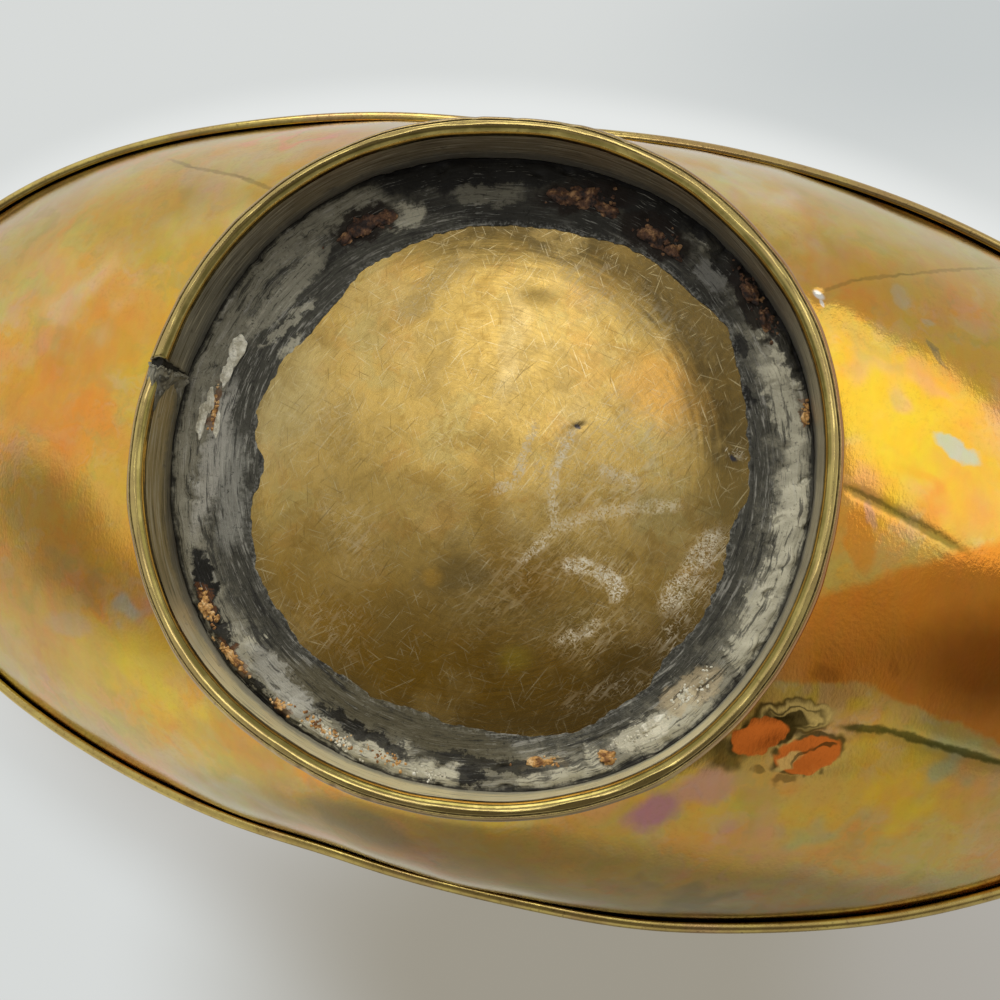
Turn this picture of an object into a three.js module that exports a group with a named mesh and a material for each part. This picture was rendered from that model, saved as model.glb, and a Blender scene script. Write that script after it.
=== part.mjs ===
// Oval bowl of sheet brass on a round soldered foot.
// Millimetres, +Z up. The bowl stands on its foot at z = 0, with its long axis along X.
import * as THREE from 'three';

// Driving dimensions of the bowl
const bowlLength = 335;
const bowlWidth = 182;
const bowlHeight = 55;
const ovalPower = 2.1;
const shellSheet = 0.7;
const rimWireDiameter = 1.4;
const baseHeight = 13;
const baseMargin = 2;
const flankBend = 18;

// Driving dimensions of the foot, a strip bent to a ring that is slightly out of round
const footDiameter = 130;
const footOvality = 0.4;
const footSquareness = 0.7;
const footSheet = 0.6;
const footWireDiameter = 1.6;
const footFlat = 1;

// Split butt seam of the foot, on the bowl's long axis: widest at the rolled edge
const seamAngle = 186;
const seamGapLow = 2.2;
const seamGapHigh = 0.5;

// Rolled edges: how far the sheet turns round its wire, and the room left round the wire
const curlTurn = 265;
const wireClearance = 0.25;

// Solder, each deposit with this gap to what it sits on
const seatClearance = 0.3;
const fillHeight = 2.2;
const fillEdge = 0.5;
const fillWidth = 13;

// Ragged inner edge of the old solder: angle, and how much wider than fillWidth it is there
const fillSpread = [
  [0, -1], [35, -1.5], [60, -4], [85, -1], [120, 0], [150, 2], [170, 5],
  [183, 2], [200, 5], [225, 4], [250, 1], [280, -1], [320, -4], [340, -2],
];

// Later runs of solder: start angle, end angle, width out from the foot's wall, thickness.
// Each tapers to runEnd of its size at its ends and to runLip of its thickness along its inner edge.
const runEnd = 0.35;
const runLip = 0.3;
const solderRuns = [
  [-8, 30, 7, 1.3],
  [34, 50, 8, 1.6],
  [55, 73, 7, 1.5],
  [79, 87, 6, 1.2],
  [89, 105, 7, 1.6],
  [106.5, 119, 8, 1.4],
  [125, 138, 9, 1.7],
  [302, 308, 5, 1.1],
  [312, 320, 6, 1.3],
  [322, 337, 7, 1.4],
];

// Pad of solder on the inside of the foot, beside the split: arc length, lower and upper edge, thickness,
// and the shares of its height and thickness at its far end and of its height on its worn face
const padLength = 8;
const padLow = 3.6;
const padHigh = 9;
const padThickness = 0.8;
const padFarHeight = 0.4;
const padFarThickness = 0.5;
const padFace = 0.7;

// Steps round the bowl, round each wire and along each run of solder
const roundSteps = 64;
const wireSides = 8;
const flankSteps = 6;
const curlSteps = 8;
const footInnerSteps = 2;
const footOuterSteps = 6;
const runSteps = 8;
const mergeDistance = 1e-6;

const toRadians = THREE.MathUtils.degToRad;

// Sizes that follow from the driving dimensions
const rimBead = rimWireDiameter / 2 + wireClearance + shellSheet;
const rimCurl = rimBead - shellSheet / 2;
const footBead = footWireDiameter / 2 + wireClearance + footSheet;
const footCurl = footBead - footSheet / 2;
const flatAngle = Math.asin(footFlat / 2 / footBead);
const footBeadHeight = footBead * Math.cos(flatAngle);
const footTop = baseHeight - seatClearance;
const wallOutset = footBead + footCurl;
const baseRadius = footDiameter / 2 + footOvality + footSquareness - wallOutset + footSheet / 2 + baseMargin;

// Radius of the rim's outside at an angle about Z
function rimRadius(angle) {
  const along = Math.abs(Math.cos(angle)) / (bowlLength / 2);
  const across = Math.abs(Math.sin(angle)) / (bowlWidth / 2);
  return (along ** ovalPower + across ** ovalPower) ** (-1 / ovalPower);
}

// Radius of the foot's outside at an angle about Z
function footRadius(angle) {
  return footDiameter / 2 + footOvality * Math.cos(2 * angle) - footSquareness * Math.cos(4 * angle);
}

// Radius of the inner face of the foot's wall at an angle about Z
function wallFace(angle) {
  return footRadius(angle) - wallOutset - footSheet / 2;
}

// Even steps round the oval, drawn closer at the two ends where it turns sharply
function ovalAngles() {
  const crowding = Math.sqrt(bowlLength / bowlWidth);
  return Array.from({ length: roundSteps }, (_, i) => {
    const turn = 2 * Math.PI * i / roundSteps;
    return Math.atan2(Math.sin(turn), crowding * Math.cos(turn));
  });
}

// Points of a circular arc
function arcPoints(centre, radius, from, to, steps) {
  return Array.from({ length: steps + 1 }, (_, i) => {
    const turn = from + (to - from) * i / steps;
    return new THREE.Vector2(centre.x + radius * Math.cos(turn), centre.y + radius * Math.sin(turn));
  });
}

// Closed outline of a sheet of even thickness whose middle follows the given points
function thicken(middle, thickness) {
  const normals = middle.map((point, i) => {
    const before = middle[Math.max(i - 1, 0)];
    const after = middle[Math.min(i + 1, middle.length - 1)];
    const along = new THREE.Vector2().subVectors(after, before).normalize();
    return new THREE.Vector2(-along.y, along.x);
  });
  const side = (shift) => middle.map((point, i) => point.clone().addScaledVector(normals[i], shift));
  return [...side(-thickness / 2), ...side(thickness / 2).reverse()];
}

// Solid skinned through sections. Each section is a ring of points; a ring of sections closes on itself,
// and an open row of sections is closed with a face at each end.
function skin(sections, closesRound) {
  const size = sections[0].length;
  const points = sections.flat();
  const triangles = [];
  const apart = (a, b) => points[a].distanceTo(points[b]) > mergeDistance;
  const addTriangle = (a, b, c) => {
    if (apart(a, b) && apart(b, c) && apart(c, a)) {
      triangles.push(a, b, c);
    }
  };
  const spans = closesRound ? sections.length : sections.length - 1;
  for (let s = 0; s < spans; s += 1) {
    const here = s * size;
    const next = ((s + 1) % sections.length) * size;
    for (let i = 0; i < size; i += 1) {
      const j = (i + 1) % size;
      addTriangle(here + i, next + i, next + j);
      addTriangle(here + i, next + j, here + j);
    }
  }
  if (!closesRound) {
    const flat = sections[0].map((point) => new THREE.Vector2(Math.hypot(point.x, point.y), point.z));
    const last = (sections.length - 1) * size;
    for (const [a, b, c] of THREE.ShapeUtils.triangulateShape(flat, [])) {
      addTriangle(a, b, c);
      addTriangle(last + a, last + c, last + b);
    }
  }
  const geometry = new THREE.BufferGeometry().setFromPoints(points);
  geometry.setIndex(triangles);
  return geometry;
}

// Places a flat outline of radius and height at an angle about Z
function stand(outline, angle) {
  return outline.map((p) => new THREE.Vector3(p.x * Math.cos(angle), p.x * Math.sin(angle), p.y));
}

// Middle of the wire in the rolled rim
function rimCentre(angle) {
  return new THREE.Vector2(rimRadius(angle) - rimBead, bowlHeight - rimBead);
}

// Outline of the bowl's sheet: flat base, curved flank, and rim rolled outwards over the wire
function shellOutline(angle) {
  const centre = rimCentre(angle);
  const edge = new THREE.Vector2(baseRadius, baseHeight + shellSheet / 2);
  const chord = new THREE.Vector2().subVectors(centre, edge);
  const bend = toRadians(flankBend);
  const start = new THREE.Vector2(1, 0).rotateAround(new THREE.Vector2(), chord.angle() - bend);
  const finish = new THREE.Vector2(1, 0).rotateAround(new THREE.Vector2(), chord.angle() + bend);
  const curlStart = finish.angle() + Math.PI / 2;
  const curl = arcPoints(centre, rimCurl, curlStart, curlStart - toRadians(curlTurn), curlSteps);
  const reach = chord.length() / 3;
  const flank = new THREE.CubicBezierCurve(
    edge,
    edge.clone().addScaledVector(start, reach),
    curl[0].clone().addScaledVector(finish, -reach),
    curl[0],
  );
  const axis = new THREE.Vector2(0, edge.y);
  return thicken([axis, ...flank.getPoints(flankSteps).slice(0, -1), ...curl], shellSheet);
}

function bowlShell() {
  return skin(ovalAngles().map((angle) => stand(shellOutline(angle), angle)), true);
}

// Ring of wire through a centre given at each angle
function wireOutline(centre, diameter) {
  return arcPoints(centre, diameter / 2, 0, 2 * Math.PI, wireSides).slice(0, -1);
}

function rimWire() {
  const section = (angle) => stand(wireOutline(rimCentre(angle), rimWireDiameter), angle);
  return skin(ovalAngles().map(section), true);
}

// Middle of the wire in the foot's rolled edge
function footCentre(angle) {
  return new THREE.Vector2(footRadius(angle) - footBead, footBeadHeight);
}

// Outline of the foot's strip: upright wall, and lower edge rolled outwards with a worn flat under it
function footOutline(angle) {
  const centre = footCentre(angle);
  const down = 1.5 * Math.PI;
  const inner = arcPoints(centre, footCurl, Math.PI, down - flatAngle, footInnerSteps);
  const outer = arcPoints(centre, footCurl, down + flatAngle, Math.PI + toRadians(curlTurn), footOuterSteps);
  const top = new THREE.Vector2(centre.x - footCurl, footTop);
  const outline = thicken([top, ...inner, ...outer], footSheet);
  outline[inner.length].y = 0;
  outline[inner.length + 1].y = 0;
  return outline;
}

// Half of the split's width as an angle, at a height on the foot
function seamHalfAngle(height) {
  const gap = THREE.MathUtils.lerp(seamGapLow, seamGapHigh, height / footTop);
  return gap / footDiameter;
}

// A strip bent round from one side of the split to the other
function bentStrip(outlineAt) {
  const seam = toRadians(seamAngle);
  const sections = Array.from({ length: roundSteps + 1 }, (_, i) => {
    const turn = i / roundSteps;
    const outline = outlineAt(seam + 2 * Math.PI * turn);
    return outline.map((p) => {
      const half = seamHalfAngle(p.y);
      return stand([p], seam + THREE.MathUtils.lerp(half, 2 * Math.PI - half, turn))[0];
    });
  });
  return skin(sections, false);
}

function footBand() {
  return bentStrip(footOutline);
}

function footWire() {
  return bentStrip((angle) => wireOutline(footCentre(angle), footWireDiameter));
}

// Width of the old solder at an angle, running smoothly through the listed spreads
function oldSolderWidth(angle) {
  const degrees = THREE.MathUtils.euclideanModulo(THREE.MathUtils.radToDeg(angle), 360);
  const stops = [...fillSpread, [fillSpread[0][0] + 360, fillSpread[0][1]]];
  const i = stops.findIndex(([stop], k) => degrees >= stop && degrees <= stops[k + 1][0]);
  const share = (degrees - stops[i][0]) / (stops[i + 1][0] - stops[i][0]);
  return fillWidth + THREE.MathUtils.lerp(stops[i][1], stops[i + 1][1], share);
}

// How thick the old solder is at a distance in from the foot's wall
function oldSolderDepth(angle, distance) {
  const share = Math.max(1 - distance / oldSolderWidth(angle), 0);
  return fillEdge + (fillHeight - fillEdge) * share ** 2;
}

// Outline of the old solder: flat on the base, hollow towards the corner
function oldSolderOutline(angle) {
  const width = oldSolderWidth(angle);
  const wall = wallFace(angle) - seatClearance;
  const roof = baseHeight - seatClearance;
  const distances = [0, 0.25 * width, 0.55 * width, width];
  const under = distances.map((d) => new THREE.Vector2(wall - d, roof - oldSolderDepth(angle, d)));
  return [new THREE.Vector2(wall, roof), new THREE.Vector2(wall - width, roof), ...under.reverse()];
}

function evenAngles() {
  return Array.from({ length: roundSteps }, (_, i) => 2 * Math.PI * i / roundSteps);
}

function oldSolder() {
  return skin(evenAngles().map((angle) => stand(oldSolderOutline(angle), angle)), true);
}

// Outline of a later run, lying on the old solder against the foot's wall and swelling in its middle
function runOutline(angle, width, thickness) {
  const wall = wallFace(angle) - 2 * seatClearance;
  const roof = baseHeight - 2 * seatClearance;
  const shares = [0, 0.25, 0.5, 0.75, 1];
  const seat = (share) => roof - oldSolderDepth(angle, seatClearance + share * width);
  const upper = shares.map((share) => new THREE.Vector2(wall - share * width, seat(share)));
  const lower = shares.map((share) => {
    const swell = thickness * THREE.MathUtils.lerp(runLip, 1, Math.sin(Math.PI * Math.min(share + 0.15, 1)));
    return new THREE.Vector2(wall - share * width, seat(share) - swell);
  });
  return [...upper, ...lower.reverse()];
}

function solderRun([from, to, width, thickness]) {
  const sections = Array.from({ length: runSteps + 1 }, (_, i) => {
    const share = i / runSteps;
    const angle = toRadians(THREE.MathUtils.lerp(from, to, share));
    const fullness = THREE.MathUtils.lerp(runEnd, 1, Math.sin(Math.PI * share) ** 0.6);
    return stand(runOutline(angle, width * fullness, thickness * fullness), angle);
  });
  return skin(sections, false);
}

// Pad of solder on the foot's wall, ending at the split
function seamSolder() {
  const seam = toRadians(seamAngle);
  const reach = padLength / (footDiameter / 2);
  const sections = Array.from({ length: runSteps + 1 }, (_, i) => {
    const share = i / runSteps;
    const outlineAt = (angle) => {
      const wall = wallFace(angle) - seatClearance;
      const height = (padHigh - padLow) / 2 * THREE.MathUtils.lerp(padFarHeight, 1, share);
      const middle = (padHigh + padLow) / 2;
      const thickness = padThickness * THREE.MathUtils.lerp(padFarThickness, 1, share);
      return [
        new THREE.Vector2(wall, middle - height),
        new THREE.Vector2(wall, middle + height),
        new THREE.Vector2(wall - thickness, middle + padFace * height),
        new THREE.Vector2(wall - thickness, middle - padFace * height),
      ];
    };
    const half = seamHalfAngle(padLow);
    const angle = seam - THREE.MathUtils.lerp(reach, half, share);
    return stand(outlineAt(angle), angle);
  });
  return skin(sections, false);
}

const polishedBrass = new THREE.MeshStandardMaterial({ color: 0xc8942f, roughness: 0.2, metalness: 1 });
const agedBrass = new THREE.MeshStandardMaterial({ color: 0x8a7448, roughness: 0.4, metalness: 1 });
const wireBrass = new THREE.MeshStandardMaterial({ color: 0xa5853e, roughness: 0.5, metalness: 1 });
const darkSolder = new THREE.MeshStandardMaterial({ color: 0x55544f, roughness: 0.6, metalness: 0.7 });
const paleSolder = new THREE.MeshStandardMaterial({ color: 0x8d8b84, roughness: 0.65, metalness: 0.6 });

const bowl = new THREE.Group();

function addPiece(name, geometry, material) {
  const mesh = new THREE.Mesh(geometry, material);
  mesh.name = name;
  bowl.add(mesh);
}

addPiece('bowl_shell', bowlShell(), polishedBrass);
addPiece('rim_wire', rimWire(), wireBrass);
addPiece('foot_band', footBand(), agedBrass);
addPiece('foot_wire', footWire(), wireBrass);
addPiece('old_solder', oldSolder(), darkSolder);
addPiece('seam_solder', seamSolder(), darkSolder);
solderRuns.forEach((run, i) => {
  addPiece(`solder_run_${String(i + 1).padStart(2, '0')}`, solderRun(run), paleSolder);
});

export default bowl;
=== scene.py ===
import math
from functools import reduce

import bmesh
import bpy
import numpy as np
from mathutils import Matrix, Vector


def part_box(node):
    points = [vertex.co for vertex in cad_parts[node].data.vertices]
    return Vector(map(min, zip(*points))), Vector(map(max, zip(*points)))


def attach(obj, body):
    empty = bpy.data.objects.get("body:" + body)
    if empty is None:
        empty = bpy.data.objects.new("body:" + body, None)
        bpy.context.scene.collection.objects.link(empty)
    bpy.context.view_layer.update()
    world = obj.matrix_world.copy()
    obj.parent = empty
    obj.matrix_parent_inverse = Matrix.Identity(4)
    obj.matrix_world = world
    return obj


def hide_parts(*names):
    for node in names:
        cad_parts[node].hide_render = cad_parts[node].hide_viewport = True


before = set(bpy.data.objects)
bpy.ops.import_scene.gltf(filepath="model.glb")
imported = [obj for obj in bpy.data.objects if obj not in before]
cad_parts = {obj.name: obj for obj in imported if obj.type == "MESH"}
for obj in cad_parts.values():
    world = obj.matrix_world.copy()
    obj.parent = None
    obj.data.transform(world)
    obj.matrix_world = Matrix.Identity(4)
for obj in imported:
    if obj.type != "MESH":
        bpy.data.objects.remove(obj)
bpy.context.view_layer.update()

BODY = "root"
MM = 0.001
TINY = 1e-6

# Sizes of the CAD solids, in millimetres
SHELL_LOW, SHELL_HIGH = (np.array(corner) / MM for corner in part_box("bowl_shell"))
HALF_LENGTH, HALF_WIDTH, RIM_TOP = SHELL_HIGH
BASE_LEVEL = SHELL_LOW[2]
OVAL_POWER = 2.1
SHELL_SHEET = 0.7
RIM_BEAD = 1.65
BASE_RADIUS = 65.4
FLANK_BEND = math.radians(18)
FLAT_SIDE = (266, 34, 10)
CURL_TURN = math.radians(265)
RIM_TURN = math.radians(288)
FOOT_RADIUS = 65.0
FOOT_OVALITY = 0.4
FOOT_SQUARENESS = 0.7
FOOT_SHEET = 0.6
FOOT_BEAD = 1.65
SEAM_ANGLE = math.radians(186)
SEAM_GAP_LOW = 2.2
SEAM_GAP_HIGH = 0.5

# How finely the visible meshes are divided
SHELL_ROUND = 672
OUTSIDE_STEPS = {"base": 72, "corner": 8, "flank": 100, "curl": 24}
INSIDE_STEPS = {"base": 14, "corner": 6, "flank": 44, "curl": 22}
RIM_WIRE_SIDES = 12
FOOT_ROUND = 720
FOOT_WALL_STEPS = 24
FOOT_CURL_STEPS = 44
GROOVE_STEPS = 17
SOLDER_ROUND = 720
SOLDER_STEPS = 56
RUN_PITCH = 0.32
RUN_STEPS = 36
PAD_STEPS_ACROSS = 60
PAD_STEPS_DOWN = 84
WEB_STEPS_ACROSS = 14
WEB_STEPS_UP = 34


def smooth(value, low, high):
    """0 below low, 1 above high, and a soft rise between them."""
    share = np.clip((value - low) / (high - low), 0, 1)
    return share * share * (3 - 2 * share)


def waves(points, length, seed, octaves=1):
    """A smooth random field of about unit size whose bumps are about as long as length."""
    random = np.random.default_rng(seed)
    count = 14
    field = np.zeros(points.shape[:-1])
    for octave in range(octaves):
        heading = random.normal(size=(count, 3))
        heading /= np.linalg.norm(heading, axis=1, keepdims=True)
        pitch = length / 2 ** octave * random.uniform(0.7, 1.4, count)
        phase = random.uniform(0, 2 * math.pi, count)
        angle = points @ (heading / pitch[:, None]).T * 2 * math.pi + phase
        field += np.sin(angle).mean(-1) * math.sqrt(2 * count) / 2 ** octave
    return field


def around(angle, centre):
    """Signed distance between two angles, in degrees."""
    return (np.degrees(angle) - centre + 180) % 360 - 180


def turned(angle, radius, height):
    """Points at a radius and height round the Z axis."""
    return np.stack(np.broadcast_arrays(radius * np.cos(angle), radius * np.sin(angle), height), -1)


def oval(x, y, shape):
    """Distance in plan from the middle of an oval, counted so that its edge is at 1."""
    middle_x, middle_y, long, wide, turn = shape
    c, s = math.cos(math.radians(turn)), math.sin(math.radians(turn))
    u = ((x - middle_x) * c + (y - middle_y) * s) / long
    v = ((y - middle_y) * c - (x - middle_x) * s) / wide
    return np.hypot(u, v)


def distance_to_line(x, y, points):
    """Distance in plan from each x, y to a line through the points, and how far along it that is."""
    best = np.full(x.shape, 1e9)
    along = np.zeros(x.shape)
    total = len(points) - 1
    for index in range(total):
        (ax, ay), (bx, by) = points[index], points[index + 1]
        dx, dy = bx - ax, by - ay
        share = np.clip(((x - ax) * dx + (y - ay) * dy) / (dx * dx + dy * dy), 0, 1)
        gap = np.hypot(x - ax - share * dx, y - ay - share * dy)
        along = np.where(gap < best, (index + share) / total, along)
        best = np.minimum(best, gap)
    return best, along


def normals(line, axis):
    """Unit normals of lines of radius and height points."""
    run = np.gradient(line, axis=axis)
    run /= np.linalg.norm(run, axis=-1, keepdims=True)
    return np.stack([-run[..., 1], run[..., 0]], -1)


# Mesh making

def signed_volume(points, faces):
    """Volume inside closed faces of three or four corners, negative when they face inwards."""
    total = 0.0
    for corners in (3, 4):
        rows = np.array([face for face in faces if len(face) == corners], int).reshape(-1, corners)
        for last in range(2, corners):
            a, b, c = points[rows[:, 0]], points[rows[:, last - 1]], points[rows[:, last]]
            total += np.einsum("ij,ij->i", a, np.cross(b, c)).sum()
    return total


def make_piece(name, points, faces, materials, slots=None):
    """A smooth closed mesh from points in millimetres, facing outwards."""
    points = points.reshape(-1, 3)
    if signed_volume(points - points.mean(0), faces) < 0:
        faces = [face[::-1] for face in faces]
    mesh = bpy.data.meshes.new(name)
    mesh.from_pydata((points * MM).tolist(), [], faces)
    for material in materials:
        mesh.materials.append(material)
    if slots is not None:
        mesh.polygons.foreach_set("material_index", np.asarray(slots, np.int32))
    mesh.shade_smooth()
    mesh.update()
    piece = bpy.data.objects.new(name, mesh)
    bpy.context.scene.collection.objects.link(piece)
    return piece


def tube_faces(rounds, stations, closed):
    """Quads of a tube whose sections are closed loops. An open tube's ends are closed as thin strips."""
    faces = []
    for i in range(rounds if closed else rounds - 1):
        a, b = i * stations, (i + 1) % rounds * stations
        for j in range(stations):
            k = (j + 1) % stations
            faces.append([a + j, a + k, b + k, b + j])
    if not closed:
        pairs = [(j, stations - 1 - j) for j in range(stations // 2 - 1)]
        last = (rounds - 1) * stations
        faces += [[k, k - 1, j + 1, j] for j, k in pairs]
        faces += [[last + j, last + j + 1, last + k - 1, last + k] for j, k in pairs]
    return faces


def strip(front, back, closed, first=0):
    """Points and faces of a thin strip between two grids of points. Its faces count from first."""
    points = np.concatenate([front, back[:, ::-1]], 1)
    faces = tube_faces(*points.shape[:2], closed)
    return points.reshape(-1, 3), [[first + corner for corner in face] for face in faces]


def there_and_back(values):
    """Values for a strip's front, and the same values for its back."""
    return np.concatenate([values, values[:, ::-1]], 1)


def mark(piece, name, values):
    """Keeps one number per mesh point, for the materials."""
    layer = piece.data.attributes.new(name, "FLOAT", "POINT")
    layer.data.foreach_set("value", np.asarray(values, np.float32).ravel())


def paint(piece, name, points, patches, seed):
    """Keeps a tint and its strength per mesh point, from stained patches laid over each other in turn."""
    drift, length, octaves = 2.6, 17, 3
    x = points[:, 0] + drift * waves(points, length, seed, octaves)
    y = points[:, 1] + drift * waves(points, length, seed + 1, octaves)
    tint = np.zeros((len(points), 3))
    cover = np.zeros(len(points))
    for *shape, soft, strength, colour in patches:
        share = strength * (1 - smooth(oval(x, y, shape), 1 - soft, 1 + soft))
        tint = tint * (1 - share)[:, None] + share[:, None] * np.array(colour)
        cover = cover * (1 - share) + share
    tint = tint / np.maximum(cover, TINY)[:, None]
    layer = piece.data.attributes.new(name, "FLOAT_COLOR", "POINT")
    layer.data.foreach_set("color", np.column_stack([tint, cover]).astype(np.float32).ravel())


# The bowl

# Dents: x, y, half length, half width, turn, depth
DENTS = [
    (56.8, -43.6, 0.9, 0.8, -20, 0.32),
    (62.0, -39.0, 8.0, 3.0, 30, 0.14),
    (59.9, 40.0, 4.6, 2.6, -32, 0.28),
    (69.5, 41.0, 5.5, 2.8, -30, 0.28),
    (65.4, 35.0, 6.0, 1.6, -16, -0.25),
    (66.5, 46.0, 9.0, 2.2, -12, -0.20),
    (4.3, -36.6, 4.2, 3.0, 0, 0.30),
    (16.8, -10.3, 0.6, 0.6, 0, 0.25),
]
# Creases: points of the line, width, depth
CREASES = [
    ([(57.4, -44.4), (64.1, -49.2), (74.1, -53.8), (92.9, -63.3)], 0.9, 0.14),
    ([(74.7, 35.2), (82.5, 34.2), (92.9, 35.2), (105.1, 36.2), (120.0, 36.0)], 1.1, 0.32),
    ([(-54.5, -49.0), (-65.6, -53.2), (-81.2, -56.8), (-89.7, -60.0)], 1.0, 0.16),
    ([(66.9, -7.9), (77.4, -4.7), (89.1, -0.8)], 0.9, 0.14),
]
CORNER_REACH = 3.2
# Where the rim leaves its oval: angle, width, change of radius
RIM_DRIFT = [(225, 16, -0.75), (263, 22, -2.1), (107, 10, -0.8), (60, 13, 1.1), (27, 9, -1.0)]
RIM_WIRE = 0.7
SLOT_FLANK, SLOT_BASE, SLOT_RIM, SLOT_INSIDE = range(4)
TARNISH_SEED = 91


def rim_radius(angle):
    x = (np.abs(np.cos(angle)) / HALF_LENGTH) ** OVAL_POWER
    y = (np.abs(np.sin(angle)) / HALF_WIDTH) ** OVAL_POWER
    radius = (x + y) ** (-1 / OVAL_POWER)
    for centre, width, change in RIM_DRIFT:
        radius = radius + change * np.exp(-(around(angle, centre) / width) ** 2)
    return radius


def round_angles(count):
    turn = np.arange(count) * 2 * math.pi / count
    return np.arctan2(np.sin(turn), math.sqrt(HALF_LENGTH / HALF_WIDTH) * np.cos(turn))


def flank_bend(angle):
    """How far the flank's curve turns to each side of its chord: less on the flatter side."""
    centre, width, less = FLAT_SIDE
    return FLANK_BEND - math.radians(less) * np.exp(-(around(angle, centre) / width) ** 2)


def shell_middle(angle, steps):
    """Middle of the bowl's sheet, as radius and height: base, corner, flank, then the rolled rim."""
    curl = RIM_BEAD - SHELL_SHEET / 2
    level = BASE_LEVEL + SHELL_SHEET / 2
    wire_r = rim_radius(angle) - RIM_BEAD
    wire_z = RIM_TOP - RIM_BEAD
    chord = np.arctan2(wire_z - level, wire_r - BASE_RADIUS)
    handle = np.hypot(wire_z - level, wire_r - BASE_RADIUS) / 3
    leave, arrive = chord - flank_bend(angle), chord + flank_bend(angle)
    end_r = wire_r - curl * np.sin(arrive)
    end_z = wire_z + curl * np.cos(arrive)
    control_r = [
        np.full_like(wire_r, BASE_RADIUS),
        BASE_RADIUS + handle * np.cos(leave),
        end_r - handle * np.cos(arrive),
        end_r,
    ]
    control_z = [
        np.full_like(wire_r, level),
        level + handle * np.sin(leave),
        end_z - handle * np.sin(arrive),
        end_z,
    ]
    first = CORNER_REACH / (3 * handle)[:, None]
    share = first + (1 - first) * np.linspace(0, 1, steps["flank"])
    weights = [(1 - share) ** 3, 3 * share * (1 - share) ** 2, 3 * share ** 2 * (1 - share), share ** 3]
    side_r = sum(weight * control[:, None] for weight, control in zip(weights, control_r))
    side_z = sum(weight * control[:, None] for weight, control in zip(weights, control_z))
    side = np.stack([side_r, side_z], -1)
    base_r = np.tile((BASE_RADIUS - CORNER_REACH) * np.linspace(0, 1, steps["base"]), (len(angle), 1))
    base = np.stack([base_r, np.full_like(base_r, level)], -1)
    share = np.linspace(0, 1, steps["corner"] + 2)[1:-1, None]
    start, tip, stop = base[:, -1:], np.array([BASE_RADIUS, level]), side[:, :1]
    corner = (1 - share) ** 2 * start + 2 * share * (1 - share) * tip + share ** 2 * stop
    turn = arrive[:, None] + math.pi / 2 - RIM_TURN * np.linspace(0, 1, steps["curl"] + 1)[1:]
    roll = np.stack([wire_r[:, None] + curl * np.cos(turn), wire_z + curl * np.sin(turn)], -1)
    return np.concatenate([base, corner, side, roll], 1)


def shell_push(points):
    """How far the sheet is pushed into the bowl at each point, by dents, creases and waviness."""
    x, y, z = points[..., 0], points[..., 1], points[..., 2]
    push = np.zeros(x.shape)
    for *shape, depth in DENTS:
        push += depth * np.exp(-oval(x, y, shape) ** 2)
    for line, width, depth in CREASES:
        gap, along = distance_to_line(x, y, line)
        taper = smooth(along, -0.01, 0.12) * (1 - 0.75 * along)
        push += depth * taper * np.exp(-(gap / width) ** 2)
    flank = smooth(np.hypot(x, y), 64, 72) * (1 - smooth(z, 49, 52.5))
    push += flank * (0.16 * waves(points, 46, 11) + 0.035 * waves(points, 15, 12))
    base = 1 - smooth(np.hypot(x, y), 56, 62)
    push += base * (0.05 * waves(points, 30, 13) + 0.012 * waves(points, 9, 14))
    return push


def rim_shift(points):
    """How far the rim has been knocked inwards and down."""
    inward = np.clip(0.11 * (1 + waves(points, 70, 15)), 0, 0.5)
    down = np.clip(0.09 * (1 + waves(points, 55, 16)), 0, 0.4)
    return inward, down


def shell_side(angle, steps, offset):
    """One face of the sheet, as points, with the inner pole first."""
    middle = shell_middle(angle, steps)
    turn = angle[:, None]
    push = shell_push(turned(turn, middle[..., 0], middle[..., 1])) + offset
    line = middle + normals(middle, 1) * push[..., None]
    points = turned(turn, line[..., 0], line[..., 1])
    rim = smooth(middle[..., 1], RIM_TOP - 6, RIM_TOP - 2)
    sink, drop = rim_shift(points)
    reach = np.maximum(np.hypot(points[..., 0], points[..., 1]), TINY)
    points[..., :2] -= points[..., :2] * (rim * sink / reach)[..., None]
    points[..., 2] -= rim * drop
    return points


def make_bowl(materials):
    angle = round_angles(SHELL_ROUND)
    outside = shell_side(angle, OUTSIDE_STEPS, -SHELL_SHEET / 2)
    inside = shell_side(angle, INSIDE_STEPS, SHELL_SHEET / 2)
    loop = np.concatenate([outside[:, 1:], inside[:, :0:-1]], 1)
    rounds, stations = loop.shape[:2]
    poles = np.stack([outside[:, 0].mean(0), inside[:, 0].mean(0)])
    points = np.concatenate([loop.reshape(-1, 3), poles])
    base_count = OUTSIDE_STEPS["base"] + OUTSIDE_STEPS["corner"] // 2 - 2
    flank_count = OUTSIDE_STEPS["corner"] // 2 + OUTSIDE_STEPS["flank"]
    rim_count = OUTSIDE_STEPS["curl"] + INSIDE_STEPS["curl"] + 2
    zones = [SLOT_BASE] * base_count + [SLOT_FLANK] * flank_count + [SLOT_RIM] * rim_count
    zones += [SLOT_INSIDE] * (stations - 1 - len(zones))
    pole = rounds * stations
    faces, slots = [], []
    for i in range(rounds):
        a, b = i * stations, (i + 1) % rounds * stations
        faces.append([pole, b, a])
        for j in range(stations - 1):
            faces.append([a + j, b + j, b + j + 1, a + j + 1])
        faces.append([a + stations - 1, b + stations - 1, pole + 1])
        slots += [SLOT_BASE, *zones, SLOT_INSIDE]
    piece = make_piece("bowl_sheet", points, faces, materials, slots)
    paint(piece, "tarnish", points, FLANK_PATCHES, TARNISH_SEED)
    return piece


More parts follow.
